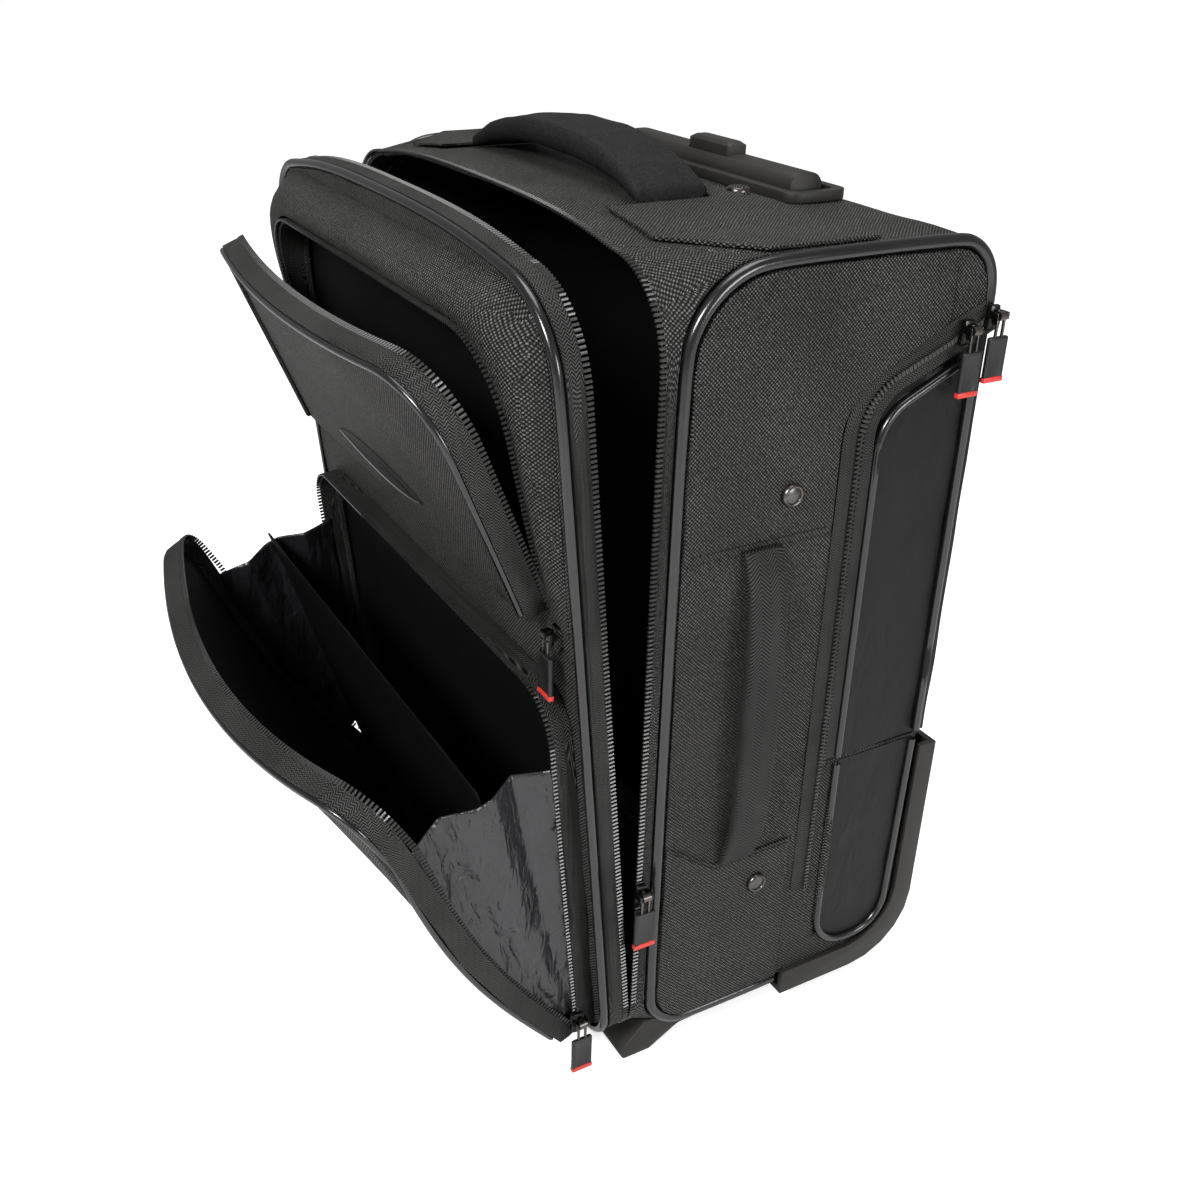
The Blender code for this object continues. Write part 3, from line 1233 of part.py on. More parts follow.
def build():
    for made in list(bpy.data.objects):
        bpy.data.objects.remove(made)
    root = axis_empty("case_datum", (0, 0, 0))
    side_panels(root)
    front_strips(root)
    top_panel(root)
    bottom_panels(root)
    back_wall(root)
    case_piping(root)
    main_chain = main_zip(root)
    rear_chain = rear_zip(root)
    patches(root)
    yokes(root)
    top_handle(root)
    side_handle(root)

    hinge_place = Vector((0, DEPTH + 0.002, DOOR_BOTTOM_Z))
    rear_door(axis_empty("rear_door_axis", hinge_place, parent=root), -hinge_place)

    lid = axis_empty("lid_axis", (0, LID_AXIS_Y, LID_AXIS_Z), (math.radians(LID_OPEN_DEG), 0, 0), root)
    lid_shell(lid)
    front_panel, face = lid_front(lid)
    upper_rim(lid, face)
    rim = lower_rim(lid, face)
    upper_place = (0, -(face + GAP + 0.0008), UPPER_BASE_Z)
    upper_panel(axis_empty("upper_pocket_axis", upper_place, (math.radians(UPPER_OPEN_DEG), 0, 0), lid))
    flap_place = Vector((0, -(LOWER_RIM_FRONT + GAP), FLAP_AXIS_Z))
    lower_flap(axis_empty("lower_flap_axis", flap_place, (math.radians(LOWER_OPEN_DEG), 0, 0), lid))
    divider(axis_empty("divider_axis", flap_place, (math.radians(LOWER_OPEN_DEG / 2), 0, 0), lid))
    gussets(lid, flap_place)

    trolley(root)
    wheel_z = WHEEL_RADIUS - GROUND_CLEARANCE
    for word, side in (("right", 1), ("left", -1)):
        corner_guard("corner_guard_" + word, side, root, wheel_z)
        wheel("wheel_" + word, side, root, wheel_z)
        front_foot("front_foot_" + word, side, root)

    pull_shape = pull_mesh()
    outside = HALF + PIVOT_STAND
    bite = 0.0003
    chain_y = STRIP_FRONT + ZIP_RADIUS + GAP
    tongue = box_outline(HALF - ZIP_INSET, HALF + 2 * GAP, -chain_y - 0.001, -chain_y + 0.001)
    levels = [in_xy(tongue, MAIN_SLIDER_Z - 0.005), in_xy(tongue, MAIN_SLIDER_Z + 0.002)]
    boolean(main_chain, tool("main_slider_tongue", levels, root), "UNION")
    main_place = (outside + GAP, -(chain_y + 0.001), MAIN_SLIDER_Z)
    slider_and_pull("main", main_chain, root, main_place, 0, 0, pull_shape)
    rear_places = (
        ("rear_side", (outside + PIPING_INSET + GAP, DEPTH - 0.020, DOOR_TOP_Z - 0.0035)),
        ("rear_corner", (outside + PIPING_INSET + GAP, DEPTH - 0.003, DOOR_TOP_Z + 0.0025)),
    )
    for label, place in rear_places:
        slider_and_pull(label, rear_chain, root, place, 0, 0, pull_shape)
    upright = -LID_OPEN_DEG
    upper_place = (UPPER_HALF_WIDTH + PULL_WIDTH / 2 + 0.001, -(face + PIVOT_STAND - bite), UPPER_BASE_Z - 0.0075)
    slider_and_pull("upper_pocket", front_panel, lid, upper_place, -90, upright, pull_shape)
    lower_place = (LOWER_HALF_WIDTH + PIVOT_STAND - bite, -LOWER_RIM_FRONT - 0.001, 0.022)
    slider_and_pull("lower_pocket", rim, lid, lower_place, 0, upright, pull_shape)
    stand_on_floor(root)


def stand_on_floor(root):
    """Puts the finished case over the origin: wheels and feet on z = 0, centred both ways over it."""
    depsgraph = bpy.context.evaluated_depsgraph_get()
    places = []
    for made in bpy.data.objects:
        if made.type in ("MESH", "CURVE") and not made.hide_render:
            mesh = made.evaluated_get(depsgraph).to_mesh()
            places += [made.matrix_world @ vert.co for vert in mesh.vertices]
    middle = [(min(place[i] for place in places) + max(place[i] for place in places)) / 2 for i in range(2)]
    root.location = (-middle[0], -middle[1], -min(place.z for place in places))
    bpy.context.view_layer.update()


build()
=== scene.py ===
import json
import math

import bmesh
import bpy
from mathutils import Matrix, Vector, noise


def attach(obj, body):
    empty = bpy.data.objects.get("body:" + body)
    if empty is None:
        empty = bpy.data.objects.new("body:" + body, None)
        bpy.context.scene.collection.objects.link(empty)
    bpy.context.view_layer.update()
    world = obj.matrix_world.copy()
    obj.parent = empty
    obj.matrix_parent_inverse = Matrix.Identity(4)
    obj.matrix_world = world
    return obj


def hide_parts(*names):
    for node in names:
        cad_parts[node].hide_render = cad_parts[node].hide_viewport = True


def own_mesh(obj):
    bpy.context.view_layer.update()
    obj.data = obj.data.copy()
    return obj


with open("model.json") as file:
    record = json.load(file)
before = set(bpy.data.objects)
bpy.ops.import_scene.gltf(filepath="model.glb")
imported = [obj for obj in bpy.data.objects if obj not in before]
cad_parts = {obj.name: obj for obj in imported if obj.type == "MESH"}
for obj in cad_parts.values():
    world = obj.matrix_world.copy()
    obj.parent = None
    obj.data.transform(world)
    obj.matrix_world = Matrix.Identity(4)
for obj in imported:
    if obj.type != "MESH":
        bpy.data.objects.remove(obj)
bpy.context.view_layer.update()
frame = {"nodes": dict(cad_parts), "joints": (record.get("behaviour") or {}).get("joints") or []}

# %% [markdown]
# The case was drawn from its own corner: y = 0 at the front edge of its side panels, and z = 0 at its
# underside. The joints tell where that corner stands now, and where the lid and its pockets turn.
# %% Places taken from the joints
HALF, HEIGHT, DEPTH = 0.200, 0.470, 0.194
WHEEL_FROM_CORNER = Vector((0.166, 0.160, 0.007))
LID_LEAN_DEG, UPPER_LEAN_DEG, FLAP_LEAN_DEG = 5.0, 21.5, 29.5
joints = {joint["name"]: joint for joint in frame["joints"]}
DATUM = Vector(joints["wheel_right_spin"]["pos_m"]) - WHEEL_FROM_CORNER


def hinge_frame(joint_name, lean_deg):
    """A matrix that takes a hinge's own directions, leaning forward, to the model's."""
    return Matrix.Translation(joints[joint_name]["pos_m"]) @ Matrix.Rotation(math.radians(lean_deg), 4, "X")


CASE = Matrix.Translation(DATUM)
LID = hinge_frame("lid_hinge", LID_LEAN_DEG)
UPPER = hinge_frame("upper_pocket_hinge", UPPER_LEAN_DEG)
FLAP = hinge_frame("lower_flap_hinge", FLAP_LEAN_DEG)
print("case corner at", tuple(round(value, 4) for value in DATUM))

# %% [markdown]
# The photograph looks down at the right front corner. The focal length is worked out from the frame's
# width in pixels, and the roll tips the camera a little to one side.
# %% Camera
FOCAL_PIXELS, PHOTO_PIXELS = 1316.5, 1200
CAMERA_FROM_CORNER = Vector((0.6937, -0.3299, 0.6115))
AZIMUTH_DEG, ELEVATION_DEG, ROLL_DEG = 59.67, 27.7, 1.6
camera_data = bpy.data.cameras.new("camera")
camera_data.sensor_width = 36.0
camera_data.lens = FOCAL_PIXELS / PHOTO_PIXELS * camera_data.sensor_width
camera_data.clip_start = 0.01
camera = bpy.data.objects.new("camera", camera_data)
bpy.context.scene.collection.objects.link(camera)
bpy.context.scene.camera = camera

azimuth, elevation, roll = (math.radians(value) for value in (AZIMUTH_DEG, ELEVATION_DEG, ROLL_DEG))
level_back = Vector((math.sin(azimuth), -math.cos(azimuth), 0))
back = level_back * math.cos(elevation) + Vector((0, 0, math.sin(elevation)))
right = (-back).cross(Vector((0, 0, 1))).normalized()
up = back.cross(right)
tilted_right = right * math.cos(roll) + up * math.sin(roll)
tilted_up = up * math.cos(roll) - right * math.sin(roll)
turn = Matrix((tilted_right, tilted_up, back)).transposed().to_4x4()
camera.matrix_world = Matrix.Translation(DATUM + CAMERA_FROM_CORNER) @ turn
print("lens", round(camera_data.lens, 2), "mm")

# %% [markdown]
# The studio is a pale floor under an even white sky. Black cloth only shows its folds when light comes from
# a few clear directions, so the sky lights the case weakly and three soft lamps do the rest.
# %% Floor and light
FLOOR_SIZE, FLOOR_DROP = 30.0, 0.0002
PAPER_GLOW, SKY_STRENGTH = 0.70, 0.32
floor_shape = bmesh.new()
bmesh.ops.create_grid(floor_shape, x_segments=1, y_segments=1, size=FLOOR_SIZE)
floor_mesh = bpy.data.meshes.new("studio_floor")
floor_shape.to_mesh(floor_mesh)
floor_shape.free()
floor = bpy.data.objects.new("studio_floor", floor_mesh)
bpy.context.scene.collection.objects.link(floor)
floor.location.z = -FLOOR_DROP
paper = bpy.data.materials.new("pale_paper")
paper.use_nodes = True
paper_tree = paper.node_tree
paper_shader = paper_tree.nodes["Principled BSDF"]
paper_shader.inputs["Base Color"].default_value = (0.92, 0.92, 0.92, 1)
paper_shader.inputs["Roughness"].default_value = 0.9
paper_shader.inputs["Emission Color"].default_value = (1, 1, 1, 1)
paper_ray = paper_tree.nodes.new("ShaderNodeLightPath")
paper_glow = paper_tree.nodes.new("ShaderNodeMath")
paper_glow.operation = "MULTIPLY"
paper_glow.inputs[1].default_value = PAPER_GLOW
paper_tree.links.new(paper_ray.outputs["Is Camera Ray"], paper_glow.inputs[0])
paper_tree.links.new(paper_glow.outputs[0], paper_shader.inputs["Emission Strength"])
floor_mesh.materials.append(paper)

sky = bpy.data.worlds.new("soft_sky")
bpy.context.scene.world = sky
sky.use_nodes = True
sky_tree = sky.node_tree
sky_light = sky_tree.nodes["Background"]
sky_light.inputs["Color"].default_value = (1, 1, 1, 1)
sky_light.inputs["Strength"].default_value = SKY_STRENGTH
sky_seen = sky_tree.nodes.new("ShaderNodeBackground")
sky_seen.inputs["Color"].default_value = (1, 1, 1, 1)
ray_kind = sky_tree.nodes.new("ShaderNodeLightPath")
sky_mix = sky_tree.nodes.new("ShaderNodeMixShader")
sky_tree.links.new(ray_kind.outputs["Is Camera Ray"], sky_mix.inputs[0])
sky_tree.links.new(sky_light.outputs[0], sky_mix.inputs[1])
sky_tree.links.new(sky_seen.outputs[0], sky_mix.inputs[2])
sky_tree.links.new(sky_mix.outputs[0], sky_tree.nodes["World Output"].inputs["Surface"])
bpy.context.scene.view_settings.view_transform = "Standard"


def soft_lamp(name, place, target, size, watts):
    lamp_data = bpy.data.lights.new(name, "AREA")
    lamp_data.size = size
    lamp_data.energy = watts
    lamp = bpy.data.objects.new(name, lamp_data)
    lamp.location = place
    lamp.rotation_mode = "QUATERNION"
    lamp.rotation_quaternion = (Vector(target) - Vector(place)).to_track_quat("-Z", "Y")
    bpy.context.scene.collection.objects.link(lamp)


middle = (0.0, 0.05, 0.26)
soft_lamp("key_lamp", (0.75, -1.25, 1.35), middle, 0.45, 30)
soft_lamp("top_lamp", (-0.1, 0.15, 2.1), middle, 1.2, 20)
soft_lamp("side_lamp", (1.7, 0.55, 0.75), middle, 0.6, 14)
print("studio ready")

# %% [markdown]
# A finish is a small tree of nodes. These helpers add one node at a time and link it, so that each finish
# below reads as a recipe.
# %% Helpers for node trees


def new_finish(name, colour, roughness, metallic=0.0, **sockets):
    made = bpy.data.materials.new(name)
    made.use_nodes = True
    shader = made.node_tree.nodes["Principled BSDF"]
    shader.inputs["Base Color"].default_value = (*colour, 1.0)
    shader.inputs["Roughness"].default_value = roughness
    shader.inputs["Metallic"].default_value = metallic
    for socket, value in sockets.items():
        shader.inputs[socket.replace("_", " ")].default_value = value
    return made, made.node_tree, shader


def add_node(tree, kind, links=(), **settings):
    """Adds a node, sets its properties, and fills its inputs from (input, socket or value) pairs."""
    made = tree.nodes.new(kind)
    for key, value in settings.items():
        setattr(made, key, value)
    for place, source in links:
        if isinstance(source, bpy.types.NodeSocket):
            tree.links.new(source, made.inputs[place])
        else:
            made.inputs[place].default_value = source
    return made


def calc(tree, operation, first, second=0.0, third=0.0):
    links = [(0, first), (1, second), (2, third)]
    return add_node(tree, "ShaderNodeMath", links, operation=operation).outputs[0]


def cloud(tree, scale, detail=4.0):
    """Noise that stays on the piece, read from Object coordinates."""
    place = add_node(tree, "ShaderNodeTexCoord").outputs["Object"]
    links = [("Vector", place), ("Scale", scale), ("Detail", detail)]
    return add_node(tree, "ShaderNodeTexNoise", links).outputs["Fac"]


def ramp(tree, factor, low, high, start=0.0, end=1.0):
    made = add_node(tree, "ShaderNodeValToRGB", [("Fac", factor)])
    made.color_ramp.elements[0].position = start
    made.color_ramp.elements[0].color = (*low, 1.0)
    made.color_ramp.elements[1].position = end
    made.color_ramp.elements[1].color = (*high, 1.0)
    return made.outputs["Color"]


def add_bump(tree, shader, height, distance):
    links = [("Height", height), ("Distance", distance), ("Strength", 1.0)]
    bump = add_node(tree, "ShaderNodeBump", links)
    tree.links.new(bump.outputs["Normal"], shader.inputs["Normal"])


def shade_by(tree, colour, factor, low=0.7, high=1.2):
    """Multiplies a colour by a grey that runs from low to high with a factor."""
    grey = ramp(tree, factor, (low,) * 3, (high,) * 3, 0.3, 0.7)
    mixed = add_node(tree, "ShaderNodeMix", data_type="RGBA", blend_type="MULTIPLY")
    mixed.inputs[0].default_value = 1.0
    tree.links.new(colour, mixed.inputs[6])
    tree.links.new(grey, mixed.inputs[7])
    return mixed.outputs[2]


def cloth_places(tree):
    """The two cloth directions, in metres, from the piece's own UV map."""
    uv = add_node(tree, "ShaderNodeUVMap", uv_map="cloth").outputs["UV"]
    parts = add_node(tree, "ShaderNodeSeparateXYZ", [(0, uv)])
    return parts.outputs["X"], parts.outputs["Y"]


print("node helpers ready")

# %% [markdown]
# Ballistic nylon is a plain weave of thick threads. Where a warp thread lies on top the surface is high and
# catches the light, and where it dives it is in shade. Two sine waves multiplied give exactly that chequer of
# bumps, about two millimetres for a pair of threads, and the same chequer is painted into the colour: a
# painted highlight on the thread tops and painted shade in the gaps.
# %% Woven cloths
TURN = 2 * math.pi
CLOTH_GLOSS = 0.15


def woven(name, pitch, shaded_gap, lit_top, roughness, depth):
    """A plain weave with so many metres to a pair of threads; its colour runs from painted shade in the gaps
    to a painted highlight on the thread tops.
    """
    made, tree, shader = new_finish(name, lit_top, roughness, Specular_IOR_Level=CLOTH_GLOSS)
    across, along = cloth_places(tree)
    wobble = calc(tree, "MULTIPLY", cloud(tree, 120.0, 2.0), pitch * 0.5)
    warp = calc(tree, "SINE", calc(tree, "MULTIPLY", calc(tree, "ADD", across, wobble), TURN / pitch))
    weft = calc(tree, "SINE", calc(tree, "MULTIPLY", calc(tree, "ADD", along, wobble), TURN / pitch))
    height = calc(tree, "MULTIPLY_ADD", calc(tree, "MULTIPLY", warp, weft), 0.5, 0.5)
    # painted light: the bump height also sets the colour, painted shade in the gaps and a painted highlight
    # on the thread tops
    colour = ramp(tree, height, shaded_gap, lit_top, 0.45, 1.0)
    colour = shade_by(tree, colour, cloud(tree, 700.0, 1.0), 0.45, 1.5)
    colour = shade_by(tree, colour, cloud(tree, 16.0), 0.8, 1.2)
    tree.links.new(colour, shader.inputs["Base Color"])
    add_bump(tree, shader, height, depth)
    return made


ballistic = woven("ballistic_nylon", 0.0022, (0.0035, 0.0035, 0.0035), (0.130, 0.129, 0.122), 0.60, 0.0006)
fine_cloth = woven("fine_nylon", 0.0012, (0.004, 0.004, 0.004), (0.030, 0.030, 0.029), 0.60, 0.0002)
lining_cloth = woven("lining_cloth", 0.0009, (0.001, 0.001, 0.001), (0.0045, 0.0045, 0.005), 0.70, 0.0001)
print("woven cloths", ballistic.name, fine_cloth.name, lining_cloth.name)

# %% [markdown]
# The rear section and the gussets are a smooth satin nylon. It has no weave that one can see, only soft
# ripples where it is stretched, and a low sheen. The ripples are also painted into the colour, with painted
# shade in their troughs and a painted highlight on their crests.
# %% Satin
RIPPLE_STRETCH = (1.0, 1.6, 0.7)


def satin(name, colour, roughness, ripple, scale, gloss):
    """Smooth cloth with ripples; the scale is how many fit in a metre."""
    made, tree, shader = new_finish(name, colour, roughness, Specular_IOR_Level=gloss)
    place = add_node(tree, "ShaderNodeTexCoord").outputs["Object"]
    links = [("Vector", place), ("Scale", RIPPLE_STRETCH)]
    spread = add_node(tree, "ShaderNodeMapping", links).outputs["Vector"]
    links = [("Vector", spread), ("Scale", scale), ("Detail", 3.0), ("Distortion", 0.8)]
    folds = add_node(tree, "ShaderNodeTexNoise", links).outputs["Fac"]
    fine = cloud(tree, 900.0, 1.0)
    height = calc(tree, "MULTIPLY_ADD", fine, 0.03, folds)
    tone = ramp(tree, fine, colour, [value * 1.15 for value in colour], 0.3, 0.7)
    # painted light: the colour follows the same fold noise as the bump, painted shade in the troughs and a
    # painted highlight on the crests
    tree.links.new(shade_by(tree, tone, folds, 0.7, 1.3), shader.inputs["Base Color"])
    tree.links.new(calc(tree, "MULTIPLY_ADD", folds, 0.25, roughness - 0.12), shader.inputs["Roughness"])
    add_bump(tree, shader, height, ripple)
    return made


rear_satin = satin("rear_satin", (0.005, 0.005, 0.0047), 0.46, 0.0010, 42.0, 0.2)
gusset_satin = satin("gusset_satin", (0.014, 0.014, 0.016), 0.30, 0.0030, 60.0, 0.6)
print("satins", rear_satin.name, gusset_satin.name)

# %% [markdown]
# Zip tape is woven in a herringbone: fine ribs that run one way and then the other. A folded distance across
# the tape, added to the distance along it, turns straight ribs into chevrons. The ribs are also painted into
# the colour, with painted shade between them and a painted highlight on their tops.
# %% Zip tape, plastics and metals


def herringbone(name, rib, row, shaded_gap, lit_top):
    made, tree, shader = new_finish(name, lit_top, 0.55, Specular_IOR_Level=0.18)
    across, along = cloth_places(tree)
    slanted = calc(tree, "ADD", along, calc(tree, "PINGPONG", across, row))
    height = calc(tree, "SINE", calc(tree, "MULTIPLY", slanted, TURN / rib))
    level = calc(tree, "MULTIPLY_ADD", height, 0.5, 0.5)
    # painted light: the rib height also sets the colour, painted shade between the ribs and a painted
    # highlight on their tops
    tone = ramp(tree, level, shaded_gap, lit_top, 0.35, 1.0)
    tree.links.new(shade_by(tree, tone, cloud(tree, 30.0)), shader.inputs["Base Color"])
    add_bump(tree, shader, level, 0.00025)
    return made


zip_tape = herringbone("zip_tape", 0.0016, 0.0021, (0.003, 0.003, 0.003), (0.060, 0.060, 0.057))
handle_cloth = herringbone("handle_webbing", 0.0022, 0.006, (0.002, 0.002, 0.002), (0.045, 0.045, 0.043))


def speckled(name, colour, roughness, scale, depth, metallic=0.0, **sockets):
    """A moulded or cast surface: fine grain in the relief and a little unevenness in colour and gloss."""
    made, tree, shader = new_finish(name, colour, roughness, metallic, **sockets)
    grain = cloud(tree, scale, 3.0)
    patchy = cloud(tree, 18.0)
    tone = ramp(tree, grain, [value * 0.85 for value in colour], [value * 1.1 for value in colour], 0.3, 0.7)
    tree.links.new(shade_by(tree, tone, patchy, 0.75, 1.25), shader.inputs["Base Color"])
    tree.links.new(calc(tree, "MULTIPLY_ADD", patchy, 0.2, roughness - 0.1), shader.inputs["Roughness"])
    add_bump(tree, shader, grain, depth)
    return made


coil = speckled("zip_coil", (0.030, 0.030, 0.029), 0.22, 600.0, 0.00005)
vinyl = speckled("glossy_vinyl", (0.0045, 0.0045, 0.0045), 0.22, 260.0, 0.00008, Specular_IOR_Level=0.7)
moulded = speckled("moulded_plastic", (0.016, 0.015, 0.0135), 0.50, 1500.0, 0.00012, Specular_IOR_Level=0.35)
rubber = speckled("soft_rubber", (0.006, 0.006, 0.006), 0.42, 900.0, 0.00006)
tread = speckled("wheel_tread", (0.010, 0.010, 0.010), 0.65, 500.0, 0.0001)
gunmetal = speckled("dark_nickel", (0.120, 0.112, 0.104), 0.30, 700.0, 0.00003, metallic=1.0)
blackened = speckled("blackened_metal", (0.045, 0.044, 0.043), 0.28, 500.0, 0.00003, metallic=1.0)
tube_metal = speckled("anodised_tube", (0.300, 0.300, 0.300), 0.30, 900.0, 0.00002, metallic=1.0)
red_band = speckled("red_band", (0.600, 0.035, 0.025), 0.35, 700.0, 0.00003)
badge_black = speckled("badge_enamel", (0.004, 0.004, 0.004), 0.60, 400.0, 0.00004, Specular_IOR_Level=0.15)
print(len(bpy.data.materials), "finishes")

# %% [markdown]
# Most of the solids already have the right outline, so many pieces start as a copy of one. The copy is
# merged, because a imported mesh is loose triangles, and then cut, softened or puffed.
# %% Helpers that start from a solid
SAME_PLACE = 0.00003
SOFTENED_DEG = 32


def copy_of(node, quads=False):
    shape = bmesh.new()
    shape.from_mesh(frame["nodes"][node].data)
    for layer in list(shape.loops.layers.uv.values()):
        shape.loops.layers.uv.remove(layer)
    bmesh.ops.remove_doubles(shape, verts=shape.verts, dist=SAME_PLACE)
    if quads:
        limit = math.radians(40)
        bmesh.ops.join_triangles(shape, faces=shape.faces, angle_face_threshold=limit,
                                 angle_shape_threshold=limit)
    else:
        flat = math.radians(0.8)
        bmesh.ops.dissolve_limit(shape, angle_limit=flat, verts=shape.verts, edges=shape.edges)
    return shape


def soften(shape, width, segments=2):
    """Rounds every edge that turns by more than SOFTENED_DEG."""
    limit = math.radians(SOFTENED_DEG)
    sharp = [edge for edge in shape.edges if edge.is_manifold and edge.calc_face_angle(0.0) > limit]
    bmesh.ops.bevel(shape, geom=sharp, offset=width, offset_type="OFFSET", segments=segments, profile=0.5,
                    affect="EDGES", clamp_overlap=True, material=-1)
    return shape


def slice_up(shape, step, axes="XYZ"):
    """Cuts the shape with planes a step apart, so that it can bend and puff between them."""
    for axis in axes:
        index = "XYZ".index(axis)
        low = min(vert.co[index] for vert in shape.verts)
        high = max(vert.co[index] for vert in shape.verts)
        normal = Vector([1.0 if i == index else 0.0 for i in range(3)])
        count = int((high - low) / step)
        for cut in range(1, count + 1):
            place = normal * (low + (high - low) * cut / (count + 1))
            geometry = shape.verts[:] + shape.edges[:] + shape.faces[:]
            bmesh.ops.bisect_plane(shape, geom=geometry, plane_co=place, plane_no=normal, dist=1e-6)
    return shape


def billow(shape, rule):
    """Moves each corner by what the rule gives for its place and normal."""
    shape.normal_update()
    moves = [(vert, rule(vert.co, vert.normal)) for vert in shape.verts]
    for vert, move in moves:
        vert.co += move
    return shape


def creases(amount, size, seed=0.0):
    """A rule for billow: gentle unevenness of so many metres, with bumps of about that size."""
    def rule(place, normal):
        return normal * amount * noise.noise(place / size + Vector((seed, seed, seed)))
    return rule


def block(low, high, bevel, segments=2):
    """A box between two corners, with rounded edges."""
    shape = bmesh.new()
    size = Vector(high) - Vector(low)
    centre = (Vector(high) + Vector(low)) / 2
    bmesh.ops.create_cube(shape, size=1.0, matrix=Matrix.Translation(centre) @ Matrix.Diagonal((*size, 1.0)))
    return soften(shape, bevel, segments)


def join(*shapes):
    """Puts several shapes into one."""
    whole = bmesh.new()
    for shape in shapes:
        mesh = bpy.data.meshes.new("part")
        shape.to_mesh(mesh)
        shape.free()
        whole.from_mesh(mesh)
        bpy.data.meshes.remove(mesh)
    return whole


print("solid helpers ready")

# %% [markdown]
# Each finished piece gets a UV map in metres, its finish and the body that it rides on.
# Further finishes can cover the faces that a rule picks, such as the lining on the inside of a panel.
# %% Helper that finishes a piece


def cloth_map(mesh):
    """A UV map in metres, laid on from the side that each face looks to."""
    layer = mesh.uv_layers.new(name="cloth")
    for face in mesh.polygons:
        sizes = [abs(value) for value in face.normal]
        first, second = ((1, 2), (0, 2), (0, 1))[sizes.index(max(sizes))]
        for loop in face.loop_indices:
            place = mesh.vertices[mesh.loops[loop].vertex_index].co
            layer.data[loop].uv = (place[first], place[second])


def finish_piece(name, shape, finish, body, slot, nodes=(), smooth_deg=38, matrix=None, levels=0, seconds=()):
    mesh = bpy.data.meshes.new(name)
    shape.to_mesh(mesh)
    shape.free()
    if not mesh.uv_layers:
        cloth_map(mesh)
    if matrix is not None:
        mesh.transform(matrix)
    mesh.materials.append(finish)
    for index, (other, rule) in enumerate(seconds, 1):
        mesh.materials.append(other)
        if rule:
            for face in mesh.polygons:
                if rule(face):
                    face.material_index = index
    mesh.shade_smooth()
    mesh.set_sharp_from_angle(angle=math.radians(smooth_deg))
    made = bpy.data.objects.new(name, mesh)
    bpy.context.scene.collection.objects.link(made)
    if levels:
        rounder = made.modifiers.new("rounder", "SUBSURF")
        rounder.levels = levels
        rounder.render_levels = levels
    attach(made, body)
    if nodes:
        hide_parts(*nodes)
    return made


def crease_sharp(shape, above_deg):
    """Keeps sharp edges sharp when a Subdivision Surface rounds the rest."""
    layer = shape.edges.layers.float.get("crease_edge") or shape.edges.layers.float.new("crease_edge")
    for edge in shape.edges:
        if edge.is_manifold and edge.calc_face_angle(0.0) > math.radians(above_deg):
            edge[layer] = 0.9
    return shape


def facing(x=0.0, y=0.0, z=0.0, least=0.5):
    """A rule that picks the faces that look along a direction."""
    direction = Vector((x, y, z)).normalized()
    return lambda face: face.normal.dot(direction) > least


print("ready to make pieces")

# %% [markdown]
# Plain cloth panels: the solids have the outline, so each is cut every centimetre and made slightly uneven.
# Their inner faces get the lining.
# %% Cloth panels of the case
CLOTH_EDGE, CLOTH_STEP = 0.0006, 0.012
lid_lean = math.radians(LID_LEAN_DEG)
leaning_in = facing(0, math.cos(lid_lean), math.sin(lid_lean))
PANELS = [
    ("side_panel_right", ballistic, "weave", "case", facing(-1)),
    ("side_panel_left", ballistic, "weave", "case", facing(1)),
    ("top_panel", ballistic, "weave", "case", facing(0, -0.3, -1)),
    ("bottom_panel", ballistic, "weave", "case", facing(0, 0, 1)),
    ("rear_lower_panel", ballistic, "weave", "case", facing(0, -1, 0.4)),
    ("main_back_wall", lining_cloth, "lining", "case", None),
    ("lid_board", lining_cloth, "lining", "lid", None),
    ("lid_front_panel", ballistic, "weave", "lid", leaning_in),
    ("side_upper_patch", ballistic, "weave", "case", None),
    ("side_lower_patch", ballistic, "weave", "case", None),
    ("top_yoke_right", ballistic, "weave", "case", None),
    ("top_yoke_left", ballistic, "weave", "case", None),
    ("rear_door", rear_satin, "satin", "rear_door", None),
    ("divider", lining_cloth, "lining", "divider", None),
]
for node, finish, slot, body, inside in PANELS:
    shape = slice_up(soften(copy_of(node), CLOTH_EDGE), CLOTH_STEP)
    billow(shape, creases(0.0009, 0.035))
    seconds = [(lining_cloth, inside)] if inside else []
    made = finish_piece(node + "_cloth", shape, finish, body, slot, [node], seconds=seconds)
    print(made.name, len(made.data.polygons), "faces")

# %% Bands, rims and cords that only need rounding
ROUNDED = [
    ("front_strip_right", ballistic, "weave", "case", 2, None),
    ("front_strip_left", ballistic, "weave", "case", 2, None),
    ("side_piping_right", vinyl, "piping", "case", 2, None),
    ("side_piping_left", vinyl, "piping", "case", 2, None),
    ("lid_band", zip_tape, "weave", "lid", 2, None),
    ("lid_piping", vinyl, "piping", "lid", 2, None),
    ("lid_hinge_welt", vinyl, "piping", "lid", 1, None),
    ("upper_pocket_rim", zip_tape, "weave", "lid", 2, None),
    ("lower_pocket_rim", zip_tape, "weave", "lid", 1, None),
    ("upper_pocket_panel", zip_tape, "weave", "upper_pocket", 1, (0, 0.93, 0.366)),
    ("lower_flap", zip_tape, "weave", "lower_flap", 1, (0, 0.87, 0.492)),
    ("side_handle", handle_cloth, "weave", "case", 2, None),
]
for node, finish, slot, body, levels, inside in ROUNDED:
    shape = crease_sharp(copy_of(node, quads=True), 50)
    seconds = []
    if inside:
        outside = facing(*(-value for value in inside), least=0.75)
        seconds = [(lining_cloth, facing(*inside)), (ballistic, outside)]
    finish_piece(node + "_soft", shape, finish, body, slot, [node], 60, levels=levels, seconds=seconds)
print(len(ROUNDED), "rounded pieces")
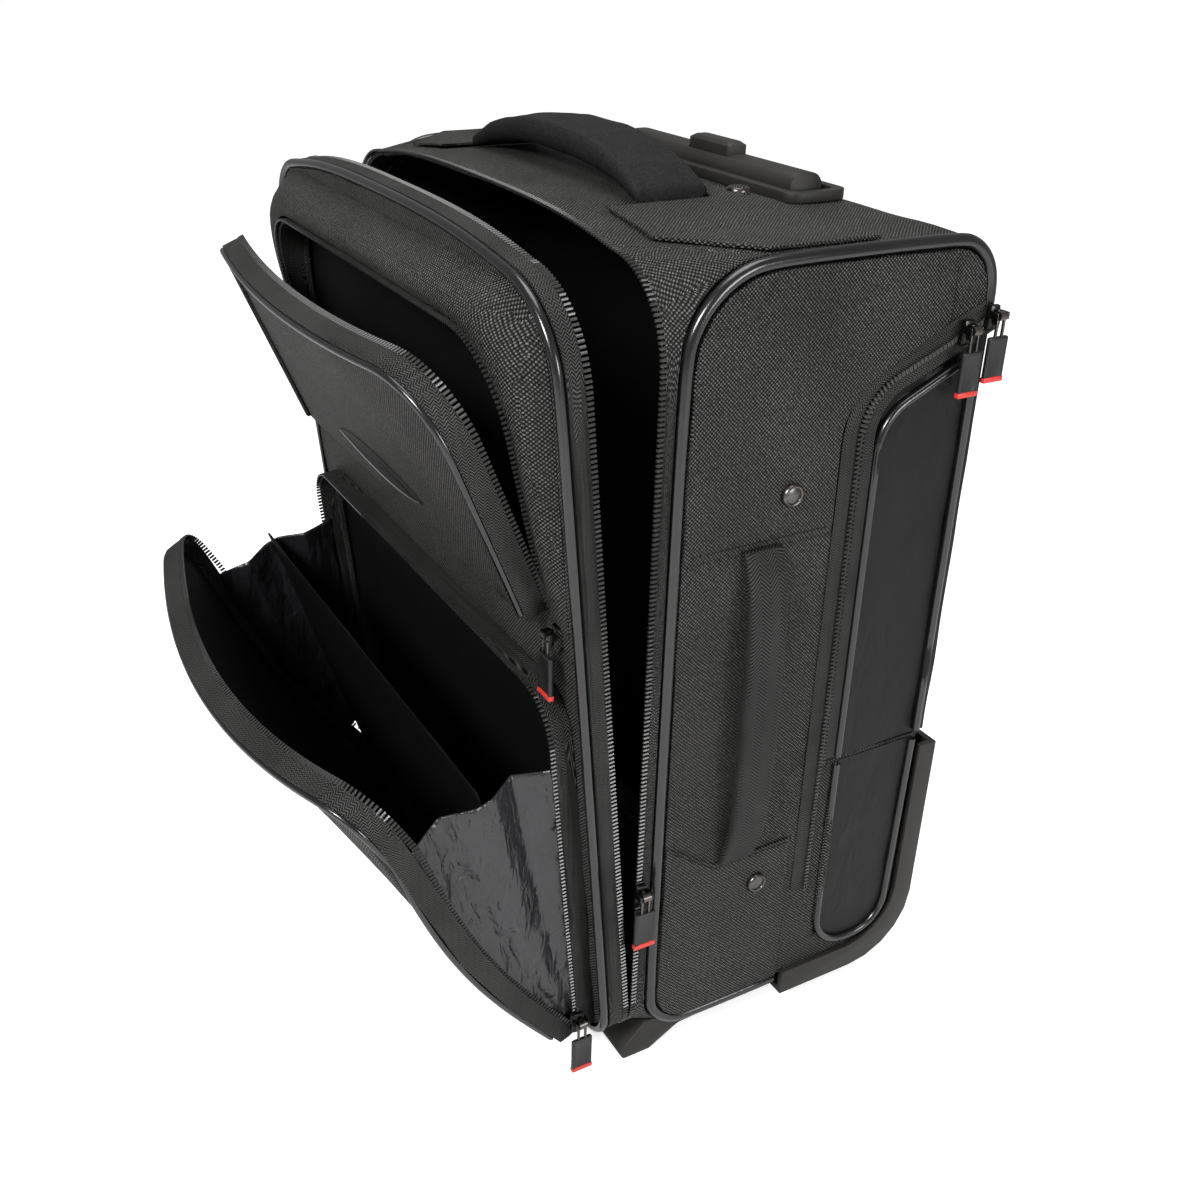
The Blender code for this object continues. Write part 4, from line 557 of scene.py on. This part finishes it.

# %% [markdown]
# The gussets are loose satin between the lid and the lower flap. They fold flat against the lid when the
# flap is zipped up, so they ride on the lid.
# Narrow strips close the bottoms of the pockets.
# %% Gussets
for node in ("gusset_right", "gusset_left"):
    shape = slice_up(crease_sharp(copy_of(node), 50), 0.008, "YZ")
    billow(shape, creases(0.0016, 0.014, 3.0))
    made = finish_piece(node + "_satin", shape, gusset_satin, "lid", "satin", [node], 70, levels=1)
    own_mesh(made)
bottom = slice_up(block((-0.180, -0.0295, 0.0036), (0.180, -0.0158, 0.0046), 0.0004), CLOTH_STEP, "X")
billow(bottom, creases(0.0006, 0.02))
finish_piece("lower_pocket_bottom", bottom, lining_cloth, "lid", "lining", matrix=LID)
for word, half, matrix in (("upper_pocket", 0.1675, UPPER), ("lower_flap", 0.1832, FLAP)):
    strip = slice_up(block((-half, -0.0114, 0.0003), (half, 0.0, 0.0013), 0.0003), CLOTH_STEP, "X")
    finish_piece(word + "_bottom", strip, lining_cloth, word, "lining", matrix=matrix)

# %% Hard pieces with eased edges
HARD = [
    ("corner_guard_right", moulded, "plastic", "case", 0.0014),
    ("corner_guard_left", moulded, "plastic", "case", 0.0014),
    ("front_foot_right", moulded, "plastic", "case", 0.0015),
    ("front_foot_left", moulded, "plastic", "case", 0.0015),
    ("trolley_base", moulded, "plastic", "case", 0.0006),
    ("trolley_bezel", moulded, "plastic", "case", 0.0009),
    ("trolley_grip", moulded, "plastic", "trolley_top", 0.0015),
    ("release_button", moulded, "plastic", "release_button", 0.0008),
    ("wheel_right_hub", moulded, "plastic", "wheel_right", 0.0005),
    ("wheel_left_hub", moulded, "plastic", "wheel_left", 0.0005),
    ("wheel_right_tyre", tread, "tyre", "wheel_right", 0.0008),
    ("wheel_left_tyre", tread, "tyre", "wheel_left", 0.0008),
]
for node, finish, slot, body, width in HARD:
    finish_piece(node + "_eased", soften(copy_of(node), width), finish, body, slot, [node])
for node in frame["nodes"]:
    if "_tube_" in node or "_axle" in node:
        metal = gunmetal if "_axle" in node else tube_metal
        frame["nodes"][node].data.materials.clear()
        frame["nodes"][node].data.materials.append(metal)
print(len(HARD), "hard pieces")

# %% [markdown]
# Zips, piping and stitches all follow a line. A line is a list of points, built from straight runs and
# rounded corners, and then walked at an even pace.
# %% Helpers that follow a line
TOOTH_PITCH, TOOTH_HALF_WIDTH, TOOTH_HALF_HEIGHT = 0.0026, 0.0008, 0.0009
TAPE_STEP, TAPE_THICKNESS = 0.006, 0.0004


def rounded(corners, steps=6):
    """Points along straight runs whose corners (u, v, radius) are rounded."""
    line = []
    for index, (u, v, radius) in enumerate(corners):
        here = Vector((u, v))
        if radius <= 0 or index in (0, len(corners) - 1):
            line.append(here)
            continue
        before = (Vector(corners[index - 1][:2]) - here).normalized()
        after = (Vector(corners[index + 1][:2]) - here).normalized()
        half = before.angle(after) / 2
        centre = here + (before + after).normalized() * radius / math.sin(half)
        start = here + before * radius / math.tan(half) - centre
        sweep = (math.pi - 2 * half) * (1 if before.x * after.y - before.y * after.x < 0 else -1)
        for step in range(steps + 1):
            angle = sweep * step / steps
            spoke = Vector((start.x * math.cos(angle) - start.y * math.sin(angle),
                            start.x * math.sin(angle) + start.y * math.cos(angle)))
            line.append(centre + spoke)
    return line


def walk(points, pitch):
    """(place, direction) pairs at an even pitch along a line of points."""
    stops = []
    spare = pitch / 2
    for first, last in zip(points, points[1:]):
        length = (last - first).length
        if length < 1e-7:
            continue
        direction = (last - first) / length
        while spare <= length:
            stops.append((first + direction * spare, direction))
            spare += pitch
        spare -= length
    return stops


def sideways(outward, direction):
    """The outward direction, made square to the line's own."""
    side = Vector(outward)
    return (side - direction * side.dot(direction)).normalized()


def tooth_row(name, points, outward, body, nodes=(), matrix=CASE, reach=0.0034):
    """A row of coil loops that stand out sideways from a zip's edge."""
    shape = bmesh.new()
    for place, direction in walk(points, TOOTH_PITCH):
        side = sideways(outward, direction)
        normal = direction.cross(side)
        loop = (direction * TOOTH_HALF_WIDTH, normal * TOOTH_HALF_HEIGHT, side)
        turned = Matrix(loop).transposed().to_4x4()
        seat = Matrix.Translation(place + side * reach / 2)
        bmesh.ops.create_cone(shape, cap_ends=True, segments=6, radius1=1.0, radius2=1.0, depth=reach,
                              matrix=seat @ turned)
    return finish_piece(name, shape, coil, body, "zip", nodes, 40, matrix)


def ribbon(name, points, outward, width, body):
    """A flat tape whose first edge follows the points and whose second lies a width outward of it."""
    stops = walk(points, TAPE_STEP)
    sides = [sideways(outward, direction) for _, direction in stops]
    shape = bmesh.new()
    layer = shape.loops.layers.uv.new("cloth")
    bmesh.ops.create_grid(shape, x_segments=1, y_segments=len(stops) - 1, size=0.5)
    spots = {}
    for vert in shape.verts:
        index = round((vert.co.y + 0.5) * (len(stops) - 1))
        shift = (vert.co.x + 0.5) * width
        spots[vert] = (shift, index * TAPE_STEP)
        vert.co = stops[index][0] + sides[index] * shift
    for face in shape.faces:
        for loop in face.loops:
            loop[layer].uv = spots[loop.vert]
    shape.normal_update()
    bmesh.ops.solidify(shape, geom=shape.faces[:], thickness=TAPE_THICKNESS)
    return finish_piece(name, shape, zip_tape, body, "weave", (), 50, CASE)


def cord(name, points, radius, body, matrix=CASE):
    """A round cord along a line, from a curve that is then turned into a mesh."""
    curve = bpy.data.curves.new(name, "CURVE")
    curve.dimensions = "3D"
    curve.bevel_depth = radius
    curve.bevel_resolution = 3
    curve.use_fill_caps = True
    spline = curve.splines.new("POLY")
    spline.points.add(len(points) - 1)
    for point, place in zip(spline.points, points):
        point.co = (*place, 1.0)
    rope = bpy.data.objects.new(name + "_line", curve)
    bpy.context.scene.collection.objects.link(rope)
    shape = bmesh.new()
    shape.from_mesh(rope.to_mesh())
    rope.to_mesh_clear()
    bpy.data.objects.remove(rope)
    return finish_piece(name, shape, vinyl, body, "piping", (), 60, matrix)


def in_xz(line, y=0.0):
    return [Vector((point.x, y, point.y)) for point in line]


def in_yz(line, x=0.0):
    return [Vector((x, point.x, point.y)) for point in line]


def shifted(points, y, z):
    return [point + Vector((0, y, z)) for point in points]


def even(points, count):
    """The same line, resampled at even steps."""
    length = sum((last - first).length for first, last in zip(points, points[1:]))
    stops = [place for place, _ in walk(points, length / count)]
    return [points[0]] + stops + [points[-1]]


print("line helpers ready")

# %% [markdown]
# The main zip runs round the mouth of the case and the rim of the lid. Unzipped, each side shows its own row
# of coil loops on its own tape.
# %% Main zip


def crown(x):
    """How far the padded front edge of the top rises above the corners."""
    return 0.009 * max(0.0, 1.0 - abs(x / (HALF - 0.050)) ** 3)


def arch(half, base, top, radius, steps=8):
    return rounded([(half, base, 0), (half, top, radius), (-half, top, radius), (-half, base, 0)], steps)


def mouth_line(inset=0.001):
    corners = [(HALF - 0.028, inset, 0), (HALF - inset, inset, 0.028), (HALF - inset, HEIGHT - inset, 0.049),
               (inset - HALF, HEIGHT - inset, 0.049), (inset - HALF, inset, 0.028), (0.028 - HALF, inset, 0)]
    line = []
    for point, _ in walk(rounded(corners, 10), 0.006):
        line.append(Vector((point.x, point.y + (crown(point.x) if point.y > 0.2 else 0.0))))
    return line


main_line = mouth_line()
tooth_row("main_zip_coil", in_xz(main_line, -0.0080), (0, -1, 0), "case", ["main_zip"])
lid_line = [Vector((point.x, point.y - 0.003)) for point in main_line if point.y > 0.006]
tooth_row("lid_zip_coil", in_xz(lid_line, -0.0032), (0, 1, 0), "lid", ["lid_zip"], LID)
print("main zip", len(main_line), "points")

# %% [markdown]
# The closed rear zip climbs each side, follows the rear compartment's slope and crosses the back. Its coil
# lies in the seam between two tapes, and a glossy cord outlines the satin inside it.
# %% Rear zip and its cord
REARWARD, FORWARD = (0, 1, -0.3), (0, -1, 0.3)
REAR_REACH, DOOR_CORD_RADIUS, DOOR_SEAM_Z = 0.0026, 0.0025, 0.1660
climb = rounded([(0.1105, 0.070, 0), (0.1105, 0.3935, 0.034), (0.1935, 0.4275, 0)], 10)
door_cord = rounded([(0.125, 0.168, 0), (0.125, 0.379, 0.0275), (0.186, 0.407, 0.008), (0.186, 0.168, 0)], 10)
lower_cord = rounded([(0.125, 0.162, 0), (0.125, 0.017, 0.026), (0.180, 0.017, 0.024), (0.184, 0.162, 0)], 10)
lower_satin = rounded([(0.127, 0.163, 0), (0.127, 0.019, 0.024), (0.179, 0.019, 0.022), (0.182, 0.163, 0)],
                      10)
for word, side in (("right", 1), ("left", -1)):
    seam = in_yz(climb, side * (HALF + 0.0019))
    door_part = [place for place in seam if place.z > DOOR_SEAM_Z]
    door_part.insert(0, Vector((door_part[0].x, 0.1105, DOOR_SEAM_Z)))
    replaced = ["rear_zip"] if side > 0 else []
    tooth_row("rear_zip_coil_" + word, seam, REARWARD, "case", replaced, reach=REAR_REACH)
    door_teeth = shifted(door_part, 0.0044, -0.0010)
    tooth_row("door_zip_coil_" + word, door_teeth, FORWARD, "rear_door", reach=REAR_REACH)
    ribbon("rear_zip_tape_" + word, in_yz(climb, side * (HALF + 0.0006)), FORWARD, 0.009, "case")
    ribbon("door_zip_tape_" + word, shifted(door_part, 0.0045, -0.0010), REARWARD, 0.0070, "rear_door")
    place_x = side * (HALF + 0.0017)
    cord("door_cord_" + word, in_yz(door_cord, place_x), DOOR_CORD_RADIUS, "rear_door")
    cord("lower_cord_" + word, in_yz(lower_cord, place_x), DOOR_CORD_RADIUS, "case")
    shape = bmesh.new()
    corners = [shape.verts.new(place) for place in in_yz(lower_satin, side * (HALF + 0.0008))]
    shape.faces.new(corners)
    slice_up(shape, 0.008, "YZ")
    billow(shape, lambda place, normal: Vector((0.0005 * noise.noise(place / 0.02), 0, 0)))
    shape.normal_update()
    bmesh.ops.solidify(shape, geom=shape.faces[:], thickness=0.0006)
    finish_piece("lower_satin_" + word, shape, rear_satin, "case", "satin", matrix=CASE)
across = [Vector((x, DEPTH + 0.0010, 0.4275)) for x in (HALF - 0.006, 0, 0.006 - HALF)]
tooth_row("rear_zip_coil_back", across, (0, 0, -1), "case", reach=REAR_REACH)
tooth_row("door_zip_coil_back", shifted(across, 0, -0.0034), (0, 0, 1), "rear_door", reach=REAR_REACH)
print("rear zip", len(climb), "points")

# %% [markdown]
# Each pocket opens with a zip round three sides. One row of loops sits on the rim sewn to the lid, the other
# on the turned-in rim of the pocket's soft panel, with a glossy cord round the panel's face.
# %% Pocket zips and cords
LID_FRONT, RIM_BASE_Z, RIM_SLOPE = 0.0160, 0.2925, 0.1228


def swelling(x, s, length, half, bow, bulge):
    """How far a pocket's soft panel swells forward at x across and s up."""
    swell = bow * (1 - (x / half) ** 2) * (max(s, 0.0) / length) ** 1.6
    return swell + bulge * math.sin(math.pi * min(1.0, max(s, 0.0) / (0.8 * length)))


def panel_line(half, low, length, radius, bow, bulge, depth, edge=0.0):
    line = [place for place, _ in walk(arch(half - edge, low, length - edge, radius - edge), 0.004)]
    return [Vector((p.x, -depth - swelling(p.x, p.y, length, half, bow, bulge), p.y)) for p in line]


upper_tray = (0.170, 0.004, 0.14659, 0.045, 0.016, 0.0)
lower_tray = (0.185, 0.006, 0.2465, 0.030, 0.034, 0.011)
for word, tray, matrix in (("upper_pocket", upper_tray, UPPER), ("lower_flap", lower_tray, FLAP)):
    tooth_row(word + "_coil", panel_line(*tray, 0.0008, 0.0010), (0, 1, 0), word, matrix=matrix, reach=0.0038)
    cord(word + "_cord", panel_line(*tray, 0.0128, 0.0036), 0.0021, word, matrix)
upper_arch = arch(0.1688, 0.2950, 0.4368, 0.0438)
upper_rim = [Vector((p.x, -LID_FRONT - (p.y - RIM_BASE_Z) * RIM_SLOPE, p.y)) for p in upper_arch]
tooth_row("upper_rim_coil", upper_rim, (0, -1, 0), "lid", matrix=LID, reach=0.0030)
lower_rim = in_xz(arch(0.1846, 0.0120, 0.2486, 0.0286), -0.0270)
tooth_row("lower_rim_coil", lower_rim, (0, -1, 0), "lid", matrix=LID, reach=0.0030)
print("pocket zips on", upper_tray[:3], lower_tray[:3])

# %% [markdown]
# The lid's woven front swells from its outer cord to the upper pocket's rim. A flat grid is bent to that
# shape: one direction runs round the arch, the other across the shoulder.
# %% Shoulder of the lid
SHOULDER_FACE = LID_FRONT + 0.0002
steps_round, steps_over = 90, 7
outer_line = even([Vector((p.x, p.y + (crown(p.x) if p.y > 0.4 else 0.0)))
                   for p in arch(0.1895, 0.286, 0.4605, 0.042)], steps_round - 1)
inner_line = even(arch(0.1712, 0.286, 0.4392, 0.0462), steps_round - 1)
shoulder = bmesh.new()
bmesh.ops.create_grid(shoulder, x_segments=steps_round, y_segments=steps_over, size=0.5)
for vert in shoulder.verts:
    index = round((vert.co.x + 0.5) * steps_round)
    share = vert.co.y + 0.5
    outside, inside = outer_line[index], inner_line[index]
    rim_front = SHOULDER_FACE + (inside.y - RIM_BASE_Z) * RIM_SLOPE
    rise = math.sin(math.pi / 2 * share)
    place = outside.lerp(inside, share)
    fade = min(1.0, min(index, steps_round - index) / 8)
    swell = (rim_front - LID_FRONT) * rise + 0.0040 * math.sin(math.pi * share) * fade
    wave = 0.0008 * noise.noise(Vector((place.x, place.y, 0)) / 0.03) * math.sin(math.pi * share)
    vert.co = Vector((place.x, -SHOULDER_FACE - swell - wave, place.y))
shoulder.normal_update()
bmesh.ops.solidify(shoulder, geom=shoulder.faces[:], thickness=0.0005)
finish_piece("lid_shoulder", shoulder, ballistic, "lid", "weave", matrix=LID)
print("shoulder of", steps_round, "by", steps_over)

# %% [markdown]
# The top handle is foam in a cloth sleeve. Its solid is cut finely, swells between its seams and is pinched
# where the sleeve is sewn.
# %% Handles and their stitches
STITCH_PITCH = 0.0042
SEAM_FROM_MIDDLE, SEAM_WIDTH, SEAM_PINCH = 0.0145, 0.0022, 0.0012


def stitch_row(name, points):
    """Short raised stitches along a line on the right side."""
    out = Vector((1, 0, 0))
    shape = bmesh.new()
    for place, direction in walk(points, STITCH_PITCH):
        side = direction.cross(out)
        turned = Matrix((out * 0.0004, side * 0.0005, direction)).transposed().to_4x4()
        bmesh.ops.create_cone(shape, cap_ends=True, segments=6, radius1=0.8, radius2=0.8,
                              depth=STITCH_PITCH * 0.68, matrix=Matrix.Translation(place) @ turned)
    return finish_piece(name, shape, fine_cloth, "case", "weave", (), 40, CASE)


shape = slice_up(crease_sharp(copy_of("top_handle"), 60), 0.008, "XY")
handle_centre = CASE @ Vector((0, 0.054, 0.49))


def handle_swell(place, normal):
    seam = abs(abs(place.y - handle_centre.y) - SEAM_FROM_MIDDLE)
    pinch = -SEAM_PINCH * math.exp(-(seam / SEAM_WIDTH) ** 2) if normal.z > 0.3 else 0.0
    return normal * (pinch + 0.0007 * noise.noise(place / 0.02))


billow(shape, handle_swell)
handle = finish_piece("top_handle_padded", shape, fine_cloth, "case", "weave", ["top_handle"], 60, levels=1)
patch_top = in_yz([Vector(p) for p in ((0.009, 0.3235), (0.097, 0.3235))], HALF + 0.0020)
patch_low = in_yz([Vector(p) for p in ((0.009, 0.1375), (0.040, 0.1145), (0.093, 0.1145))], HALF + 0.0020)
stitch_row("patch_stitches_upper", patch_top)
stitch_row("patch_stitches_lower", patch_low)
print("handles and stitches")

# %% [markdown]
# A rivet is a turned profile: a flange, a raised ring and a flat cap. Spinning the profile closes the shape.
# %% Rivets


def rivet(name, place, nodes=(), turned=Matrix.Identity(4)):
    profile = [(0.0, 0.0026), (0.0040, 0.0026), (0.0044, 0.0023), (0.0047, 0.0030), (0.0054, 0.0032),
               (0.0061, 0.0026), (0.0065, 0.0012), (0.0064, 0.0)]
    shape = bmesh.new()
    verts = [shape.verts.new((radius, 0, height)) for radius, height in profile]
    edges = [shape.edges.new(pair) for pair in zip(verts, verts[1:])]
    bmesh.ops.spin(shape, geom=verts + edges, cent=(0, 0, 0), axis=(0, 0, 1), angle=TURN, steps=32,
                   use_merge=True)
    bmesh.ops.remove_doubles(shape, verts=shape.verts, dist=1e-6)
    bmesh.ops.recalc_face_normals(shape, faces=shape.faces)
    seat = CASE @ Matrix.Translation(place) @ turned
    return finish_piece(name, shape, gunmetal, "case", "gunmetal", nodes, 50, seat)


to_side = Matrix.Rotation(math.pi / 2, 4, "Y")
rivet("rivet_side_upper", Vector((HALF + 0.0018, 0.070, 0.347)), ["side_rivet_upper"], to_side)
rivet("rivet_side_lower", Vector((HALF + 0.0018, 0.072, 0.093)), ["side_rivet_lower"], to_side)
for word, side in (("right", 1), ("left", -1)):
    rivet("rivet_top_" + word, Vector((side * 0.089, 0.104, HEIGHT + 0.0062)))
print("four rivets")

# %% [markdown]
# Zip sliders are small castings with a bridge on top. The pull hangs from the bridge: a wire link, a rubber
# tab with a framed hollow, and a red band at its end.
# %% Sliders and pulls


def slider(name, seat, body):
    """Slider body with its nose, and the bridge that holds the link. It lies against a wall that faces +X."""
    plate = block((-0.0080, -0.0046, -0.0090), (-0.0042, 0.0046, 0.0045), 0.0012)
    for vert in plate.verts:
        if vert.co.z > 0:
            vert.co.y *= 0.72
    bridge = block((-0.0045, -0.0014, -0.0060), (-0.0012, 0.0014, 0.0030), 0.0009)
    ears = [block((-0.0046, y - 0.0006, -0.0020), (0.0016, y + 0.0006, 0.0020), 0.0004)
            for y in (0.0037, -0.0037)]
    pin = bmesh.new()
    bmesh.ops.create_cone(pin, cap_ends=True, segments=12, radius1=0.0012, radius2=0.0012, depth=0.0078,
                          matrix=Matrix.Rotation(math.pi / 2, 4, "X"))
    shape = join(plate, bridge, *ears, pin)
    return finish_piece(name + "_slider", shape, blackened, body, "gunmetal", (), 40, seat)


def pull(name, seat):
    """Link, rubber tab and end band, hanging down from the slider's pin."""
    node = name + "_pull"
    ring = bmesh.new()
    bmesh.ops.create_cone(ring, cap_ends=True, segments=14, radius1=0.0026, radius2=0.0026, depth=0.0050,
                          matrix=Matrix.Rotation(math.pi / 2, 4, "X"))
    bars = [block((-0.0008, y - 0.0007, -0.0155), (0.0008, y + 0.0007, -0.0010), 0.0004)
            for y in (0.0023, -0.0023)]
    foot = block((-0.0009, -0.0040, -0.0170), (0.0009, 0.0040, -0.0135), 0.0005)
    finish_piece(name + "_link", join(ring, *bars, foot), gunmetal, node, "gunmetal", (), 40, seat)
    tab = block((-0.0015, -0.0067, -0.0356), (0.0015, 0.0067, -0.0110), 0.0011, 3)
    faces = [face for face in tab.faces if abs(face.normal.x) > 0.99]
    bmesh.ops.inset_individual(tab, faces=faces, thickness=0.0016, depth=-0.0005)
    finish_piece(name + "_tab", tab, rubber, node, "rubber", [node], 40, seat)
    band = block((-0.0017, -0.0069, -0.0358), (0.0017, 0.0069, -0.0328), 0.0007)
    finish_piece(name + "_band", band, red_band, node, "rubber", (), 40, seat)


PULLS = [("main", "case", 0), ("rear_side", "case", 0), ("rear_corner", "case", 0),
         ("upper_pocket", "lid", -90), ("lower_pocket", "lid", 0)]
for name, body, facing_deg in PULLS:
    place = Matrix.Translation(joints[name + "_pull_swing"]["pos_m"])
    seat = place @ Matrix.Rotation(math.radians(facing_deg), 4, "Z")
    slider(name, seat, body)
    pull(name, seat)
print(len(PULLS), "sliders with pulls")

# %% [markdown]
# The badge is a plain pointed plate: a thin metal frame round a bare black field.
# %% Badge
plate = copy_of("badge_plate")
plate.normal_update()
front = [face for face in plate.faces if face.normal.y < -0.3]
bmesh.ops.inset_region(plate, faces=front, thickness=0.0011, depth=-0.0004, use_even_offset=True)
for face in front:
    face.material_index = 1
finish_piece("badge_framed", plate, gunmetal, "upper_pocket", "gunmetal", ["badge_plate"],
             seconds=[(badge_black, None)])
print("badge field of", len(front), "faces")
